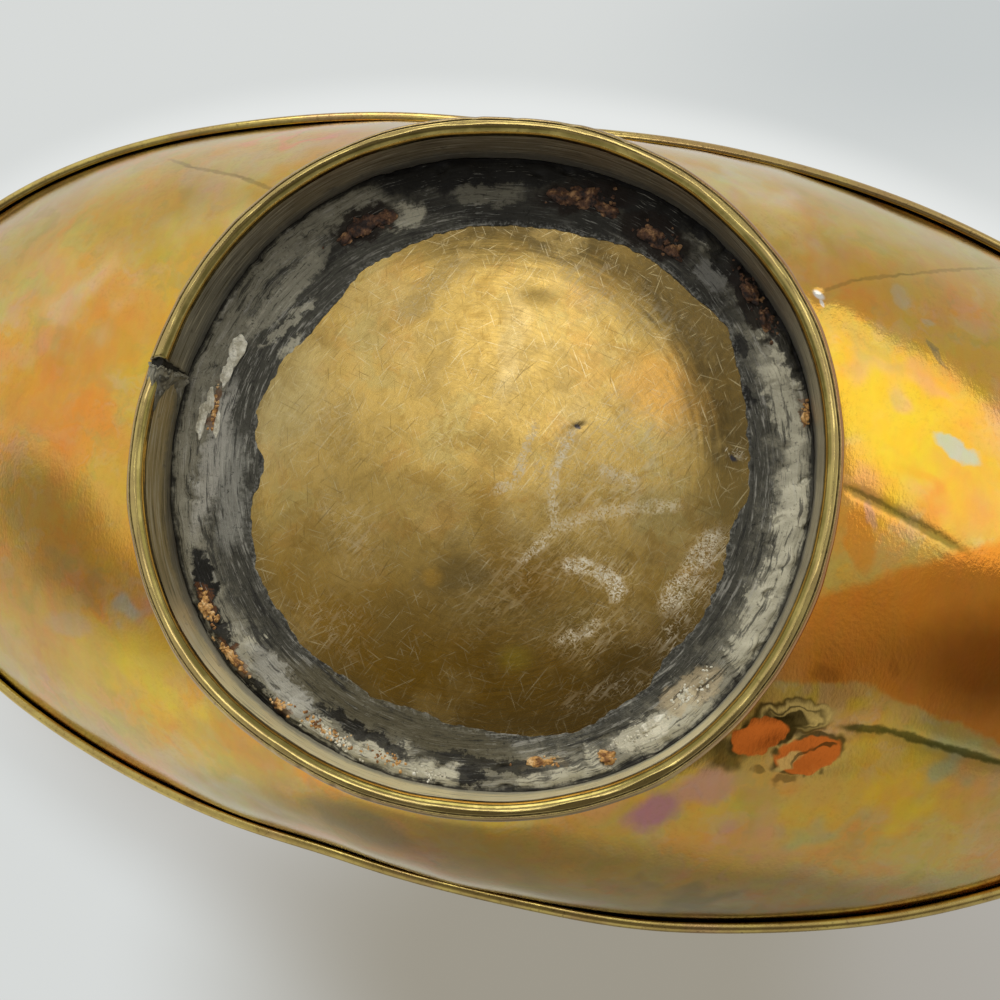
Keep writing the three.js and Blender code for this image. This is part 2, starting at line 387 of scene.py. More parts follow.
def make_rim_wire(materials):
    """The wire that the rim is rolled round."""
    angle = round_angles(SHELL_ROUND // 2)[:, None]
    turn = np.linspace(0, 2 * math.pi, RIM_WIRE_SIDES, endpoint=False)
    centre = rim_radius(angle) - RIM_BEAD
    level = RIM_TOP - RIM_BEAD
    sink, drop = rim_shift(turned(angle, centre, level))
    points = turned(angle, centre - sink + RIM_WIRE * np.cos(turn), level - drop + RIM_WIRE * np.sin(turn))
    return make_piece("rim_core", points, tube_faces(*points.shape[:2], True), materials)


# The foot

# Bumps: angle, width, change of radius
FOOT_BUMPS = [
    (168, 18, 0.8), (115, 14, -0.6), (225, 20, -0.45),
    (276, 10, 0.4), (312, 14, -0.7), (48, 10, 0.25),
]
# Nicks in the bead: angle, width in millimetres, depth
FOOT_NICKS = [
    (259, 0.8, 0.30), (266, 0.6, 0.25), (275, 1.2, 0.45), (285, 0.9, 0.35),
    (95, 0.8, 0.22), (101, 0.7, 0.28), (107, 0.9, 0.32), (113, 0.7, 0.25),
]
NICK_TURN = math.radians(318)
NICK_SPREAD = math.radians(22)
FOOT_TOP = BASE_LEVEL + 0.15
GROOVE_ANGLE = math.radians(292)
GROOVE_WIDTH = math.radians(7)
GROOVE_DEPTH = 0.30
SLOT_WALL, SLOT_BEAD, SLOT_OUTSIDE = range(3)
TORN_TIP = 0.9
BENT_END = 0.45


def plain_foot(angle):
    """Radius of the foot without its bumps."""
    return FOOT_RADIUS + FOOT_OVALITY * np.cos(2 * angle) - FOOT_SQUARENESS * np.cos(4 * angle)


def foot_radius(angle):
    radius = plain_foot(angle)
    for centre, width, height in FOOT_BUMPS:
        radius = radius + height * np.exp(-(around(angle, centre) / width) ** 2)
    return radius


def end_lift(angle, height):
    """How far the bead's end at the low side of the seam is bent up."""
    from_seam = (SEAM_ANGLE - angle) % (2 * math.pi) * FOOT_RADIUS
    return BENT_END * (1 - smooth(from_seam, 3.5, 8.0)) * (1 - smooth(height, 3.5, 7.0))


def wall_at(angle, height):
    """Radius of the foot's inner face at a height. The bumps of the bead half fade towards the base."""
    upper = 0.5 * smooth(height, 3, 12)
    return foot_radius(angle) * (1 - upper) + plain_foot(angle) * upper - 2 * FOOT_BEAD


def wall_face(angle):
    """Radius of the foot's inner face near the base."""
    return wall_at(angle, FOOT_TOP)


def seam_gap(height):
    """Width of the split in the foot at a height."""
    return SEAM_GAP_LOW + (SEAM_GAP_HIGH - SEAM_GAP_LOW) * height / FOOT_TOP


def foot_section():
    """The strip's section, as offsets and heights, and where round the bead each point is."""
    curl = FOOT_BEAD - FOOT_SHEET / 2
    wall_z = np.linspace(FOOT_TOP, FOOT_BEAD, FOOT_WALL_STEPS, endpoint=False)
    near_groove = GROOVE_ANGLE + 2.2 * GROOVE_WIDTH * np.linspace(-1, 1, GROOVE_STEPS)
    turn = np.sort(np.concatenate([math.pi + CURL_TURN * np.linspace(0, 1, FOOT_CURL_STEPS), near_groove]))
    wall = np.stack([np.full_like(wall_z, -curl), wall_z], -1)
    roll = np.stack([curl * np.cos(turn), FOOT_BEAD + curl * np.sin(turn)], -1)
    middle = np.concatenate([wall, roll])
    normal = normals(middle, 0)
    bead_turn = np.concatenate([np.full(FOOT_WALL_STEPS, math.pi), turn])
    groove = GROOVE_DEPTH * np.exp(-((bead_turn - GROOVE_ANGLE) / GROOVE_WIDTH) ** 2)
    outer = middle - normal * FOOT_SHEET / 2 + normal * groove[:, None]
    outer[:, 1] = np.maximum(outer[:, 1], 0)
    inner = middle + normal * FOOT_SHEET / 2
    return np.concatenate([outer, inner[::-1]]), np.concatenate([bead_turn, bead_turn[::-1]])


def make_foot(materials):
    loop, bead_turn = foot_section()
    height = loop[:, 1]
    stations = len(loop)
    gap = seam_gap(np.clip(height, 0, FOOT_TOP))
    ragged = 0.5 * np.sin(height * 2.1 + 0.6) + 0.35 * np.sin(height * 4.7 + 2.0)
    tip = TORN_TIP * smooth(np.degrees(bead_turn), 235, 320)
    start = SEAM_ANGLE + (gap / 2 + 0.25 * ragged - tip) / FOOT_RADIUS
    stop = SEAM_ANGLE + 2 * math.pi - (gap / 2 - 0.2 * ragged) / FOOT_RADIUS
    angle = start + np.linspace(0, 1, FOOT_ROUND)[:, None] * (stop - start)
    points = turned(angle, wall_at(angle, height) + FOOT_BEAD + loop[:, 0], height)
    bead = np.clip((2 * FOOT_BEAD - height) / FOOT_BEAD, 0, 1)
    lift = 0.05 * waves(points, 12, 21) * bead + 0.06 * waves(points, 30, 22) * (1 - bead)
    is_outer = np.arange(stations) < stations // 2
    ridge = np.exp(-((bead_turn - NICK_TURN) / NICK_SPREAD) ** 2) * is_outer
    for centre, width, depth in FOOT_NICKS:
        from_nick = np.radians(around(angle, centre)) * FOOT_RADIUS
        lift -= depth * ridge * np.exp(-(from_nick / width) ** 2)
    points += turned(angle, np.cos(bead_turn), np.sin(bead_turn)) * lift[..., None]
    points[..., 2] = np.clip(points[..., 2] + end_lift(angle, height), 0, None)
    faces = tube_faces(FOOT_ROUND, stations, False)
    zones = [SLOT_WALL] * (FOOT_WALL_STEPS - 1)
    zones += [SLOT_BEAD] * (stations - 2 * FOOT_WALL_STEPS + 1) + [SLOT_OUTSIDE] * FOOT_WALL_STEPS
    slots = zones * (FOOT_ROUND - 1)
    slots += [SLOT_WALL] * (len(faces) - len(slots))
    piece = make_piece("foot_ring", points, faces, materials, slots)
    mark(piece, "bead_turn", np.tile(np.degrees(bead_turn), FOOT_ROUND))
    return piece


# Solder

SOLDER_WIDTH = 13.0
SOLDER_MIDDLE = 60.0
# How much wider the old solder is at some angles
SOLDER_SPREAD = [
    (0, 0.2), (35, -0.8), (60, -4), (85, -1), (120, 0), (150, 2), (170, 5), (183, 2),
    (200, 5), (225, 4), (250, 1), (280, -1), (320, -3.4), (340, -1.2), (360, 0.2),
]
# Later runs: first and last angle, reach from the wall, thickness
SOLDER_RUNS = [
    (-8, 30, 7, 1.3), (34, 50, 8, 1.6), (55, 73, 7, 1.5), (79, 87, 6, 1.2), (89, 105, 7, 1.6),
    (106.5, 119, 8, 1.4), (125, 138, 9, 1.7), (302, 308, 5, 1.1), (312, 320, 6, 1.3), (322, 337, 7, 1.4),
]
BED_EDGE = 0.03
BED_DEPTH = 0.24
BED_RISE = 2.0
BED_CLEAR = 0.02
RUN_CLEAR = 0.04
RUN_SHARE = 0.55
SUNK = 0.05
# How deep the crevice by the wall is at some angles
CREVICES = [
    (0, 0.2), (60, 0.3), (95, 0.6), (110, 1.2), (135, 1.3), (160, 0.9),
    (178, 0.1), (200, 0.2), (270, 0.5), (330, 0.5), (360, 0.2),
]


def at_angle(angle, table):
    """A value from a table of angles in degrees and values."""
    degrees, values = zip(*table)
    return np.interp(np.degrees(angle) % 360, degrees, values)


def solder_width(angle):
    """Width of the old solder, with its uneven inner edge."""
    ring = turned(angle, SOLDER_MIDDLE, 0.0)
    jag = 0.35 * waves(ring, 19, 31) - 0.4 * smooth(waves(ring, 9, 32), 0.9, 1.5)
    jag += 0.10 * waves(ring, 3.0, 33) + 0.05 * waves(ring, 1.3, 36)
    return SOLDER_WIDTH + at_angle(angle, SOLDER_SPREAD) + jag


def bed_depth(angle, inward):
    """How far the old solder stands out: thin at its edge, drawn up the wall, with a crevice there."""
    spot = turned(angle, wall_face(angle) - inward, 0.0)
    feather = smooth(solder_width(angle) - inward, 0, 3.0)
    share = np.clip(1 - inward / 12.0, 0, 1)
    heap = 1 - smooth(inward, 2.5, 10.0)
    swell = 0.06 * waves(spot, 17, 34) + 0.03 * waves(spot, 7, 35)
    rough = heap * (0.15 * waves(spot, 9, 37) + 0.06 * waves(spot, 3.6, 38))
    pits = heap * 0.40 * smooth(waves(spot, 3.4, 39), 1.2, 2.0)
    crevice = at_angle(angle, CREVICES) * np.exp(-(inward / 1.3) ** 2)
    depth = BED_EDGE + feather * (BED_DEPTH + swell) + BED_RISE * share ** 2.6 + rough - pits - crevice
    return np.clip(depth, BED_EDGE, None)


def run_reach(number, angle):
    """How far a run of solder reaches in from the wall at each angle, and how full it is there."""
    start, stop, width, _ = SOLDER_RUNS[number]
    length = math.radians(stop - start) * FOOT_RADIUS
    from_end = ((stop - start) / 2 - np.abs(around(angle, (start + stop) / 2))) / (stop - start) * length
    full = np.sqrt(np.clip(from_end / 4.0, 0, 1))
    ring = turned(angle, SOLDER_MIDDLE, 0.0)
    seed = 40 + 7 * number
    reach = width + 0.9 * waves(ring, 7, seed) + 0.5 * waves(ring, 2.6, seed + 1)
    return full * reach + 0.25, full


def run_rise(number, angle, inward):
    """How far a run of solder stands out from the old solder under it."""
    thick = SOLDER_RUNS[number][3]
    reach, full = run_reach(number, angle)
    share = np.clip(inward / reach, 0, 1)
    shape = (0.35 + 0.65 * smooth(share, 0, 0.35)) * (1 - share ** 2) ** 1.5
    spot = turned(angle, wall_face(angle) - inward, 0.0)
    seed = 42 + 7 * number
    lump = 1 + 0.22 * waves(spot, 6, seed) + 0.10 * waves(spot, 2.8, seed + 1)
    return RUN_SHARE * thick * full * shape * np.clip(lump, 0.3, None)


def solder_level(x, y):
    """Height of the solder's free face at points in plan."""
    angle = np.arctan2(y, x)
    inward = wall_face(angle) - np.hypot(x, y)
    depth = bed_depth(angle, inward)
    for number in range(len(SOLDER_RUNS)):
        depth = depth + run_rise(number, angle, inward)
    return BASE_LEVEL - depth


def make_old_solder(materials):
    angle = np.linspace(0, 2 * math.pi, SOLDER_ROUND, endpoint=False)[:, None]
    width = solder_width(angle)
    inward = width * (1 - np.linspace(0, 1, SOLDER_STEPS))
    radius = wall_face(angle) - BED_CLEAR - inward
    front = turned(angle, radius, BASE_LEVEL - bed_depth(angle, inward))
    back = turned(angle, radius, BASE_LEVEL + SUNK)
    points, faces = strip(front, back, True)
    piece = make_piece("old_solder_bed", points, faces, materials)
    mark(piece, "inward", there_and_back(inward))
    mark(piece, "from_edge", width - there_and_back(inward))
    return piece


def make_run(number, materials):
    """One later run of solder along the corner, lying on the old solder."""
    start, stop = SOLDER_RUNS[number][:2]
    rounds = int(math.radians(stop - start) * FOOT_RADIUS / RUN_PITCH)
    angle = np.radians(np.linspace(start, stop, rounds))[:, None]
    share = np.linspace(0, 1, RUN_STEPS)
    reach, full = run_reach(number, angle)
    inward = reach * share
    radius = wall_face(angle) - RUN_CLEAR - inward
    bed = BASE_LEVEL - bed_depth(angle, inward)
    front = turned(angle, radius, bed - run_rise(number, angle, inward) - 0.01)
    back = turned(angle, radius, bed + SUNK)
    points, faces = strip(front, back, False)
    piece = make_piece(f"pale_run_{number + 1:02d}", points, faces, materials)
    mark(piece, "inward", there_and_back(inward))
    mark(piece, "from_edge", solder_width(angle) - there_and_back(inward))
    mark(piece, "cover", there_and_back(full * (1 - share)))
    return piece


PAD_LENGTH = 9.0
PAD_HIGH = 11.0
PAD_ON_WALL = PAD_HIGH - FOOT_BEAD
PAD_ROUND_BEAD = math.radians(140)
PAD_EDGE = 9.0


def pad_points(angle, way, thick):
    """Points that stand a thickness off the foot, down its inner wall and then round its bead."""
    height = np.clip(PAD_HIGH - way, FOOT_BEAD, None)
    turn = math.pi + np.clip(way - PAD_ON_WALL, 0, None) / FOOT_BEAD
    radius = wall_at(angle, height) + FOOT_BEAD + (FOOT_BEAD + thick) * np.cos(turn)
    level = height + (FOOT_BEAD + thick) * np.sin(turn) + end_lift(angle, height)
    return turned(angle, radius, np.clip(level, 0.02, None))


def seam_smear():
    """Points and faces of the solder smeared over the split, and how far across it each point is."""
    way = np.linspace(0, PAD_ON_WALL + FOOT_BEAD * PAD_ROUND_BEAD, PAD_STEPS_DOWN)
    down = way / way[-1]
    gap = seam_gap(np.clip(PAD_HIGH - way, FOOT_BEAD, None))
    ragged = 0.5 * np.sin(way * 2.3) + 0.4 * np.sin(way * 5.1 + 1.0) + 0.25 * np.sin(way * 9.7)
    near = SEAM_ANGLE - (gap * 0.5 - 0.4 + 0.42 * ragged) / FOOT_RADIUS
    arch = np.clip(np.abs(way - 4.6) / 4.4, 0, 1)
    on_bead = smooth(way, PAD_ON_WALL - 0.6, PAD_ON_WALL + 1.4)
    wall_length = PAD_LENGTH * (0.30 + 0.70 * arch ** 2.2)
    bead_length = 4.6 - 2.4 * down ** 4 + 0.5 * ragged
    length = wall_length * (1 - on_bead) + bead_length * on_bead
    share = np.linspace(0, 1, PAD_STEPS_ACROSS)[:, None]
    angle = near - share * length / FOOT_RADIUS
    rim = smooth(share, 0, 0.08) * (1 - smooth(share, 0.45, 1.0))
    sides = smooth(down, 0, 0.10) * (1 - smooth(down, 0.93, 1.0))
    lip = 0.70 * np.exp(-((share - 0.10) / 0.08) ** 2) * (1 + 0.5 * np.sin(way * 3.1))
    lump = 1 + 0.4 * waves(pad_points(angle, way, 0.0), 2.6, 71)
    thick = 0.05 + (0.50 * rim + lip) * (1 - 0.62 * on_bead) * sides * lump
    front = pad_points(angle, way, np.clip(thick, 0.04, None))
    points, faces = strip(front, pad_points(angle, way, -0.15), False)
    return points, faces, np.repeat(share.ravel(), 2 * PAD_STEPS_DOWN)


def seam_web(first):
    """Points and faces of the dark web of solder that is left in the split."""
    height = np.linspace(0.9, FOOT_TOP - 0.3, WEB_STEPS_UP)
    half = (seam_gap(height) / 2 + 0.35) / FOOT_RADIUS
    angle = SEAM_ANGLE + np.linspace(-1, 1, WEB_STEPS_ACROSS)[:, None] * half
    face = wall_at(angle, height)
    in_bead = 1 - smooth(height, 2.6, 3.4)
    front = turned(angle, face + 0.22 + 0.35 * in_bead, height)
    back = turned(angle, face + 0.48 + 2.2 * in_bead, height)
    return strip(front, back, False, first)


def make_pad(materials):
    points, faces, across = seam_smear()
    web_points, web_faces = seam_web(len(points))
    points = np.concatenate([points, web_points])
    piece = make_piece("seam_pad", points, faces + web_faces, materials)
    mark(piece, "inward", np.concatenate([3.0 + 2.5 * across, np.zeros(len(web_points))]))
    mark(piece, "from_edge", np.full(len(points), PAD_EDGE))
    return piece


# Crumbs left in the solder: x, y, half length, half width, turn, count, size
# Lumps among them: x, y, half length, half width, height, turn

RUST_CRUMBS = [
    (-32.5, -43.4, 4.6, 2.0, -34, 60, 0.50),
    (8.8, -55.0, 6.5, 1.8, -8, 70, 0.50),
    (24.5, -49.2, 4.6, 2.2, 22, 60, 0.48),
    (45.5, -39.0, 6.5, 1.6, 52, 80, 0.46),
]
RUST_LUMPS = [
    (-33.0, -43.2, 3.0, 1.9, 0.9, -34),
    (-29.0, -45.2, 2.2, 1.4, 0.8, -20),
    (-36.0, -40.0, 1.8, 1.1, 0.6, -45),
    (9.5, -55.2, 3.2, 2.0, 1.1, -8),
    (4.8, -54.6, 2.6, 1.5, 0.8, 12),
    (14.5, -53.2, 2.6, 1.3, 0.8, 15),
    (24.0, -49.4, 2.6, 1.7, 0.9, 22),
    (28.6, -46.8, 1.9, 1.2, 0.7, 32),
    (43.8, -40.8, 2.3, 1.2, 0.7, 50),
    (47.6, -36.0, 2.2, 1.1, 0.7, 57),
]
AMBER_CRUMBS = [
    (57.6, -20.0, 2.4, 0.6, 81, 22, 0.38),
    (33.5, 49.0, 1.5, 1.0, -12, 18, 0.45),
    (-47.2, 36.6, 3.6, 0.8, 56, 50, 0.52),
    (-39.6, 45.4, 4.4, 0.8, 34, 56, 0.52),
    (-28.4, 52.5, 2.2, 0.8, 26, 26, 0.48),
    (-55.0, -1.3, 4.4, 0.6, -95, 40, 0.36),
    (-6.7, 57.5, 5.0, 1.4, 12, 30, 0.36),
    (-20.0, 54.6, 6.0, 1.2, 22, 50, 0.40),
    (22.7, 52.0, 4.4, 0.8, -17, 30, 0.36),
]
AMBER_LUMPS = [
    (33.5, 49.0, 1.8, 1.3, 1.0, -12),
    (-47.6, 37.4, 1.7, 0.9, 0.7, 56),
    (-39.6, 45.4, 2.1, 0.8, 0.6, 34),
    (57.6, -18.6, 1.3, 0.6, 0.5, 81),
    (21.5, 52.4, 2.2, 0.8, 0.5, -17),
]
CREAM_CRUMBS = [
    (46.0, 34.0, 5.0, 1.8, 129, 60, 0.36),
    (38.5, 43.5, 4.6, 1.2, 143, 50, 0.34),
    (-17.0, 56.0, 6.0, 1.1, 20, 60, 0.36),
    (2.5, 58.6, 3.6, 0.9, -5, 30, 0.34),
]
CREAM_LUMPS = [
    (-53.6, -13.2, 3.4, 1.7, 0.7, -77),
    (-54.2, -9.2, 3.0, 1.0, 0.5, -84),
    (-56.2, -3.0, 2.6, 0.8, 0.5, -96),
    (-57.0, 1.0, 3.4, 0.9, 0.6, -93),
    (-53.8, 1.8, 2.6, 0.6, 0.4, -95),
    (40.5, 41.5, 2.6, 1.1, 0.5, 139),
]
CRUMB_DIVISIONS = 2
LUMP_DIVISIONS = 4


def unit_ball(divisions):
    """Points and faces of a ball of radius 1."""
    mesh = bpy.data.meshes.new("ball")
    shape = bmesh.new()
    bmesh.ops.create_icosphere(shape, subdivisions=divisions, radius=1.0)
    shape.to_mesh(mesh)
    shape.free()
    points = np.array([v.co for v in mesh.vertices])
    faces = [list(face.vertices) for face in mesh.polygons]
    bpy.data.meshes.remove(mesh)
    return points, faces


def make_crumbs(name, groups, lumps, seed, bumpy, materials):
    """Small rough crumbs and larger lumps that lie half sunk in the solder."""
    random = np.random.default_rng(seed)
    rows = []
    for x, y, long, wide, turn, count, size in groups:
        c, s = math.cos(math.radians(turn)), math.sin(math.radians(turn))
        for _ in range(count):
            u, v = random.normal(0, 0.5, 2) * (long, wide)
            radii = size * random.uniform(0.5, 1.0) * random.uniform(0.7, 1.2, 3) * (1, 1, 0.55)
            rows.append((x + u * c - v * s, y + u * s + v * c, *radii, 0.0, CRUMB_DIVISIONS))
    rows += [(*lump, LUMP_DIVISIONS) for lump in lumps]
    x, y, long, wide = np.array(rows)[:, :4].T
    pull = np.minimum(1.0, (wall_face(np.arctan2(y, x)) - 0.5 * np.minimum(long, wide)) / np.hypot(x, y))
    x, y = x * pull, y * pull
    level = solder_level(x, y)
    balls = {divisions: unit_ball(divisions) for divisions in (CRUMB_DIVISIONS, LUMP_DIVISIONS)}
    points, faces, first = [], [], 0
    for index, (_, _, long, wide, tall, turn, divisions) in enumerate(rows):
        unit, ball_faces = balls[divisions]
        c, s = math.cos(math.radians(turn)), math.sin(math.radians(turn))
        place = unit * 2.0 + 10 * random.normal(size=3)
        bumps = 1 + 0.14 * bumpy * waves(place, 2.4, seed + index)
        lump = unit * bumps[:, None] * (long, wide, tall)
        if divisions == LUMP_DIVISIONS:
            grain = 0.10 * waves(place, 0.9, seed + index + 1) + 0.04 * waves(place, 0.4, seed + index + 2)
            lump = lump + unit * (bumpy * min(wide, tall) * grain)[:, None]
        lump_x = x[index] + lump[:, 0] * c - lump[:, 1] * s
        lump_y = y[index] + lump[:, 0] * s + lump[:, 1] * c
        points.append(np.stack([lump_x, lump_y, lump[:, 2] + level[index] + 0.15 * tall], -1))
        faces += [[first + corner for corner in face] for face in ball_faces]
        first += len(unit)
    return make_piece(name, np.concatenate(points), faces, materials)


# Shader nodes

class Wire:
    """One output of a node, and the sums that further nodes make of it."""

    def __init__(self, graph, socket):
        self.graph = graph
        self.socket = socket

    def __add__(self, other):
        return self.graph.math("ADD", self, other)

    def __sub__(self, other):
        return self.graph.math("SUBTRACT", self, other)

    def __rsub__(self, other):
        return self.graph.math("SUBTRACT", other, self)

    def __mul__(self, other):
        return self.graph.math("MULTIPLY", self, other)


class Graph:
    """Adds shader nodes to one material or world and links them."""

    def __init__(self, tree):
        self.tree = tree
        tree.nodes.clear()

    def put(self, socket, value):
        if isinstance(value, Wire):
            self.tree.links.new(value.socket, socket)
        elif socket.type == "RGBA":
            socket.default_value = (*value, 1)
        else:
            socket.default_value = value

    def node(self, kind, inputs=None, **settings):
        node = self.tree.nodes.new(kind)
        for key, value in settings.items():
            setattr(node, key, value)
        for key, value in (inputs or {}).items():
            self.put(node.inputs[key], value)
        return node

    def out(self, kind, inputs=None, output=0, **settings):
        """One output of a new node."""
        return Wire(self, self.node(kind, inputs, **settings).outputs[output])

    def math(self, operation, a, b):
        return self.out("ShaderNodeMath", {0: a, 1: b}, operation=operation)

    def most(self, a, b):
        return self.math("MAXIMUM", a, b)

    def vector(self, operation, a, b=(0, 0, 0)):
        output = 1 if operation in ("LENGTH", "DOT_PRODUCT") else 0
        return self.out("ShaderNodeVectorMath", {0: a, 1: b}, output, operation=operation)

    def scaled(self, vector, size):
        return self.out("ShaderNodeVectorMath", {0: vector, "Scale": size}, operation="SCALE")

    def part(self, vector, index):
        """One of the three parts of a vector."""
        return self.out("ShaderNodeSeparateXYZ", {0: vector}, index)

    def mix(self, share, a, b, blend="MIX"):
        return self.out("ShaderNodeMix", {0: share, 6: a, 7: b}, 2, data_type="RGBA", blend_type=blend)

    def noise(self, vector, scale, detail, rough, bend=0.0, output=0):
        inputs = {"Vector": vector, "Scale": scale, "Detail": detail, "Roughness": rough}
        return self.out("ShaderNodeTexNoise", {**inputs, "Distortion": bend}, output)

    def span(self, value, low, high, to_low=0.0, to_high=1.0):
        inputs = {0: value, 1: low, 2: high, 3: to_low, 4: to_high}
        return self.out("ShaderNodeMapRange", inputs, interpolation_type="SMOOTHSTEP", clamp=False)

    def stain(self, colour, tint, value, low, high, strength=1.0):
        """The colour with a tint laid over it where a value goes from low to high."""
        return self.mix(self.span(value, low, high, 0.0, strength), colour, tint)

    def point(self):
        """The surface point in millimetres."""
        return self.scaled(self.out("ShaderNodeTexCoord", output="Object"), 1 / MM)

    def polar(self, point, per_turn, per_radius, per_height):
        """A vector whose three parts change round, across and up the object, with no seam."""
        flat = self.vector("MULTIPLY", point, (1, 1, 0))
        turn = self.scaled(self.vector("NORMALIZE", flat), per_turn)
        rise = self.vector("LENGTH", flat) * per_radius + self.part(point, 2) * per_height
        return self.vector("ADD", turn, self.out("ShaderNodeCombineXYZ", {2: rise}))

    def local(self, point, x, y, long, wide, turn):
        """The point as seen from a turned and stretched frame in plan."""
        inputs = {"Vector": point, "Location": (x, y, 0), "Scale": (long, wide, 1e6)}
        inputs["Rotation"] = (0, 0, math.radians(turn))
        return self.out("ShaderNodeMapping", inputs, vector_type="TEXTURE")

    def patch(self, point, x, y, long, wide, turn, soft):
        """1 inside an oval patch in plan, 0 outside."""
        reach = self.vector("LENGTH", self.local(point, x, y, long, wide, turn))
        return self.span(reach, 1 + soft, 1 - soft)

    def attribute(self, name, output="Fac"):
        """What is kept on the mesh points under a name."""
        return self.out("ShaderNodeAttribute", output=output, attribute_name=name)

    def warp(self, point, scale, amount, detail=5.0):
        """The point moved about by a noise, so that what is drawn with it gets ragged edges."""
        stirred = self.noise(point, scale, detail, 0.62, output="Color")
        shift = self.vector("SUBTRACT", stirred, (0.5, 0.5, 0.5))
        return self.vector("ADD", point, self.scaled(shift, amount))

    def mottled(self, colour, point, scale, spread, detail):
        """The colour with its three parts raised and lowered by three noises."""
        stirred = self.noise(point, scale, detail, 0.66, output="Color")
        change = self.mix(1.0, stirred, spread, "MULTIPLY")
        change = self.mix(1.0, change, tuple(1 - part / 2 for part in spread), "ADD")
        return self.mix(1.0, colour, change, "MULTIPLY")

    def bump(self, height, distance):
        return self.out("ShaderNodeBump", {"Height": height, "Distance": distance, "Strength": 1.0})

    def ray(self, kind):
        """1 for rays of one kind."""
        return self.out("ShaderNodeLightPath", output=f"Is {kind} Ray")

    def geometry(self, name):
        return self.out("ShaderNodeNewGeometry", output=name)

    def surface(self, **inputs):
        named = {key.replace("_", " "): value for key, value in inputs.items()}
        self.end("Material", self.out("ShaderNodeBsdfPrincipled", named))

    def end(self, kind, shader):
        self.node("ShaderNodeOutput" + kind, {0: shader})


def new_material(name):
    material = bpy.data.materials.new(name)
    material.use_nodes = True
    return material, Graph(material.node_tree)


def tinted(g, colour, point, patches):
    """The colour with each stained patch laid over it in turn."""
    for *shape, strength, tint in patches:
        colour = g.mix(g.patch(point, *shape) * strength, colour, tint)
    return colour


def clouded(g, colour, point, clouds, detail, rough):
    """The colour with clouds of other tints laid over it in turn."""
    for shift, scale, low, high, strength, tint in clouds:
        cloud = g.noise(g.vector("ADD", point, shift), scale, detail, rough)
        colour = g.stain(colour, tint, cloud, low, high, strength)
    return colour


def line_ovals(line, width):
    """Long thin ovals along the pieces of a line."""
    ovals = []
    for (ax, ay), (bx, by) in zip(line, line[1:]):
        turn = math.degrees(math.atan2(by - ay, bx - ax))
        half = 0.62 * math.hypot(bx - ax, by - ay)
        ovals.append(((ax + bx) / 2, (ay + by) / 2, half, width, turn, 0.4))
    return ovals


def beside(g, point, start, stop, soft):
    """1 on one side of a line in plan, 0 on the other."""
    (ax, ay), (bx, by) = start, stop
    length = math.hypot(bx - ax, by - ay)
    across = ((ay - by) / length, (bx - ax) / length, 0)
    distance = g.vector("DOT_PRODUCT", point, across) - (ax * across[0] + ay * across[1])
    return g.span(distance, -soft, soft)


def within(g, direction, axis, inner, outer):
    """1 within inner degrees of an axis, 0 beyond outer degrees."""
    facing = g.vector("DOT_PRODUCT", direction, axis)
    return g.span(facing, math.cos(math.radians(outer)), math.cos(math.radians(inner)))


def sector(g, point, angle, inner, outer):
    """1 within inner degrees of an angle round the object, 0 beyond outer degrees."""
    flat = g.vector("NORMALIZE", g.vector("MULTIPLY", point, (1, 1, 0)))
    axis = (math.cos(math.radians(angle)), math.sin(math.radians(angle)), 0)
    return within(g, flat, axis, inner, outer)


def scratches(g, point, turn, length, width, low, high):
    """Thin straight marks in one direction, 1 on a mark and 0 between them."""
    drawn = g.local(point, 0, 0, length, width, turn)
    return g.span(g.noise(g.vector("ADD", drawn, (turn, 2.0 * turn, 0)), 1.0, 2, 0.5), low, high)


def scratched(g, point, rows):
    """Thin straight marks in several directions."""
    return reduce(g.most, [scratches(g, point, *row, low, low + SCRATCH_SOFT) for *row, low in rows])


# Brass of the flank
# Stains: x, y, half length, half width, turn, softness, strength, colour

FLANK_GOLD = (0.80, 0.46, 0.085)
FLANK_RIM = (0.66, 0.49, 0.18)
# Painted shade and dark reflection under the rolled rim
RIM_PAINTED_SHADE = (0.13, 0.085, 0.02)
WORN = (0.36, 0.21, 0.04)
ORANGE = (0.82, 0.38, 0.055)
DEEP_ORANGE = (0.84, 0.32, 0.035)
PINK = (0.80, 0.42, 0.17)
GREEN = (0.66, 0.55, 0.14)
BEIGE = (0.70, 0.53, 0.27)
LIGHT_GOLD = (0.90, 0.66, 0.32)
YELLOW = (0.84, 0.53, 0.035)
SOFT_YELLOW = (0.82, 0.60, 0.17)
OLIVE = (0.58, 0.43, 0.11)
MUSTARD = (0.72, 0.50, 0.10)
PURPLE = (0.56, 0.25, 0.26)
ROSE = (0.70, 0.36, 0.22)
MAUVE = (0.64, 0.45, 0.24)
BLUE_GREY = (0.50, 0.55, 0.40)
BLUE_GREEN = (0.47, 0.48, 0.20)
GREY_OLIVE = (0.38, 0.31, 0.13)
DARK_STAIN = (0.30, 0.24, 0.12)
DARK_BROWN = (0.30, 0.085, 0.010)
LINE_DARK = (0.24, 0.17, 0.045)
GREEN_DARK = (0.11, 0.10, 0.015)
BRIGHT = (0.98, 0.95, 0.84)
BROWN = (0.85, 0.27, 0.025)
RED_BROWN = (0.45, 0.15, 0.02)
STAIN = (0.60, 0.52, 0.32)
POOL_RED = (0.92, 0.22, 0.03)
POOL_DARK = (0.070, 0.045, 0.010)
POOL_GOLD = (0.98, 0.68, 0.20)
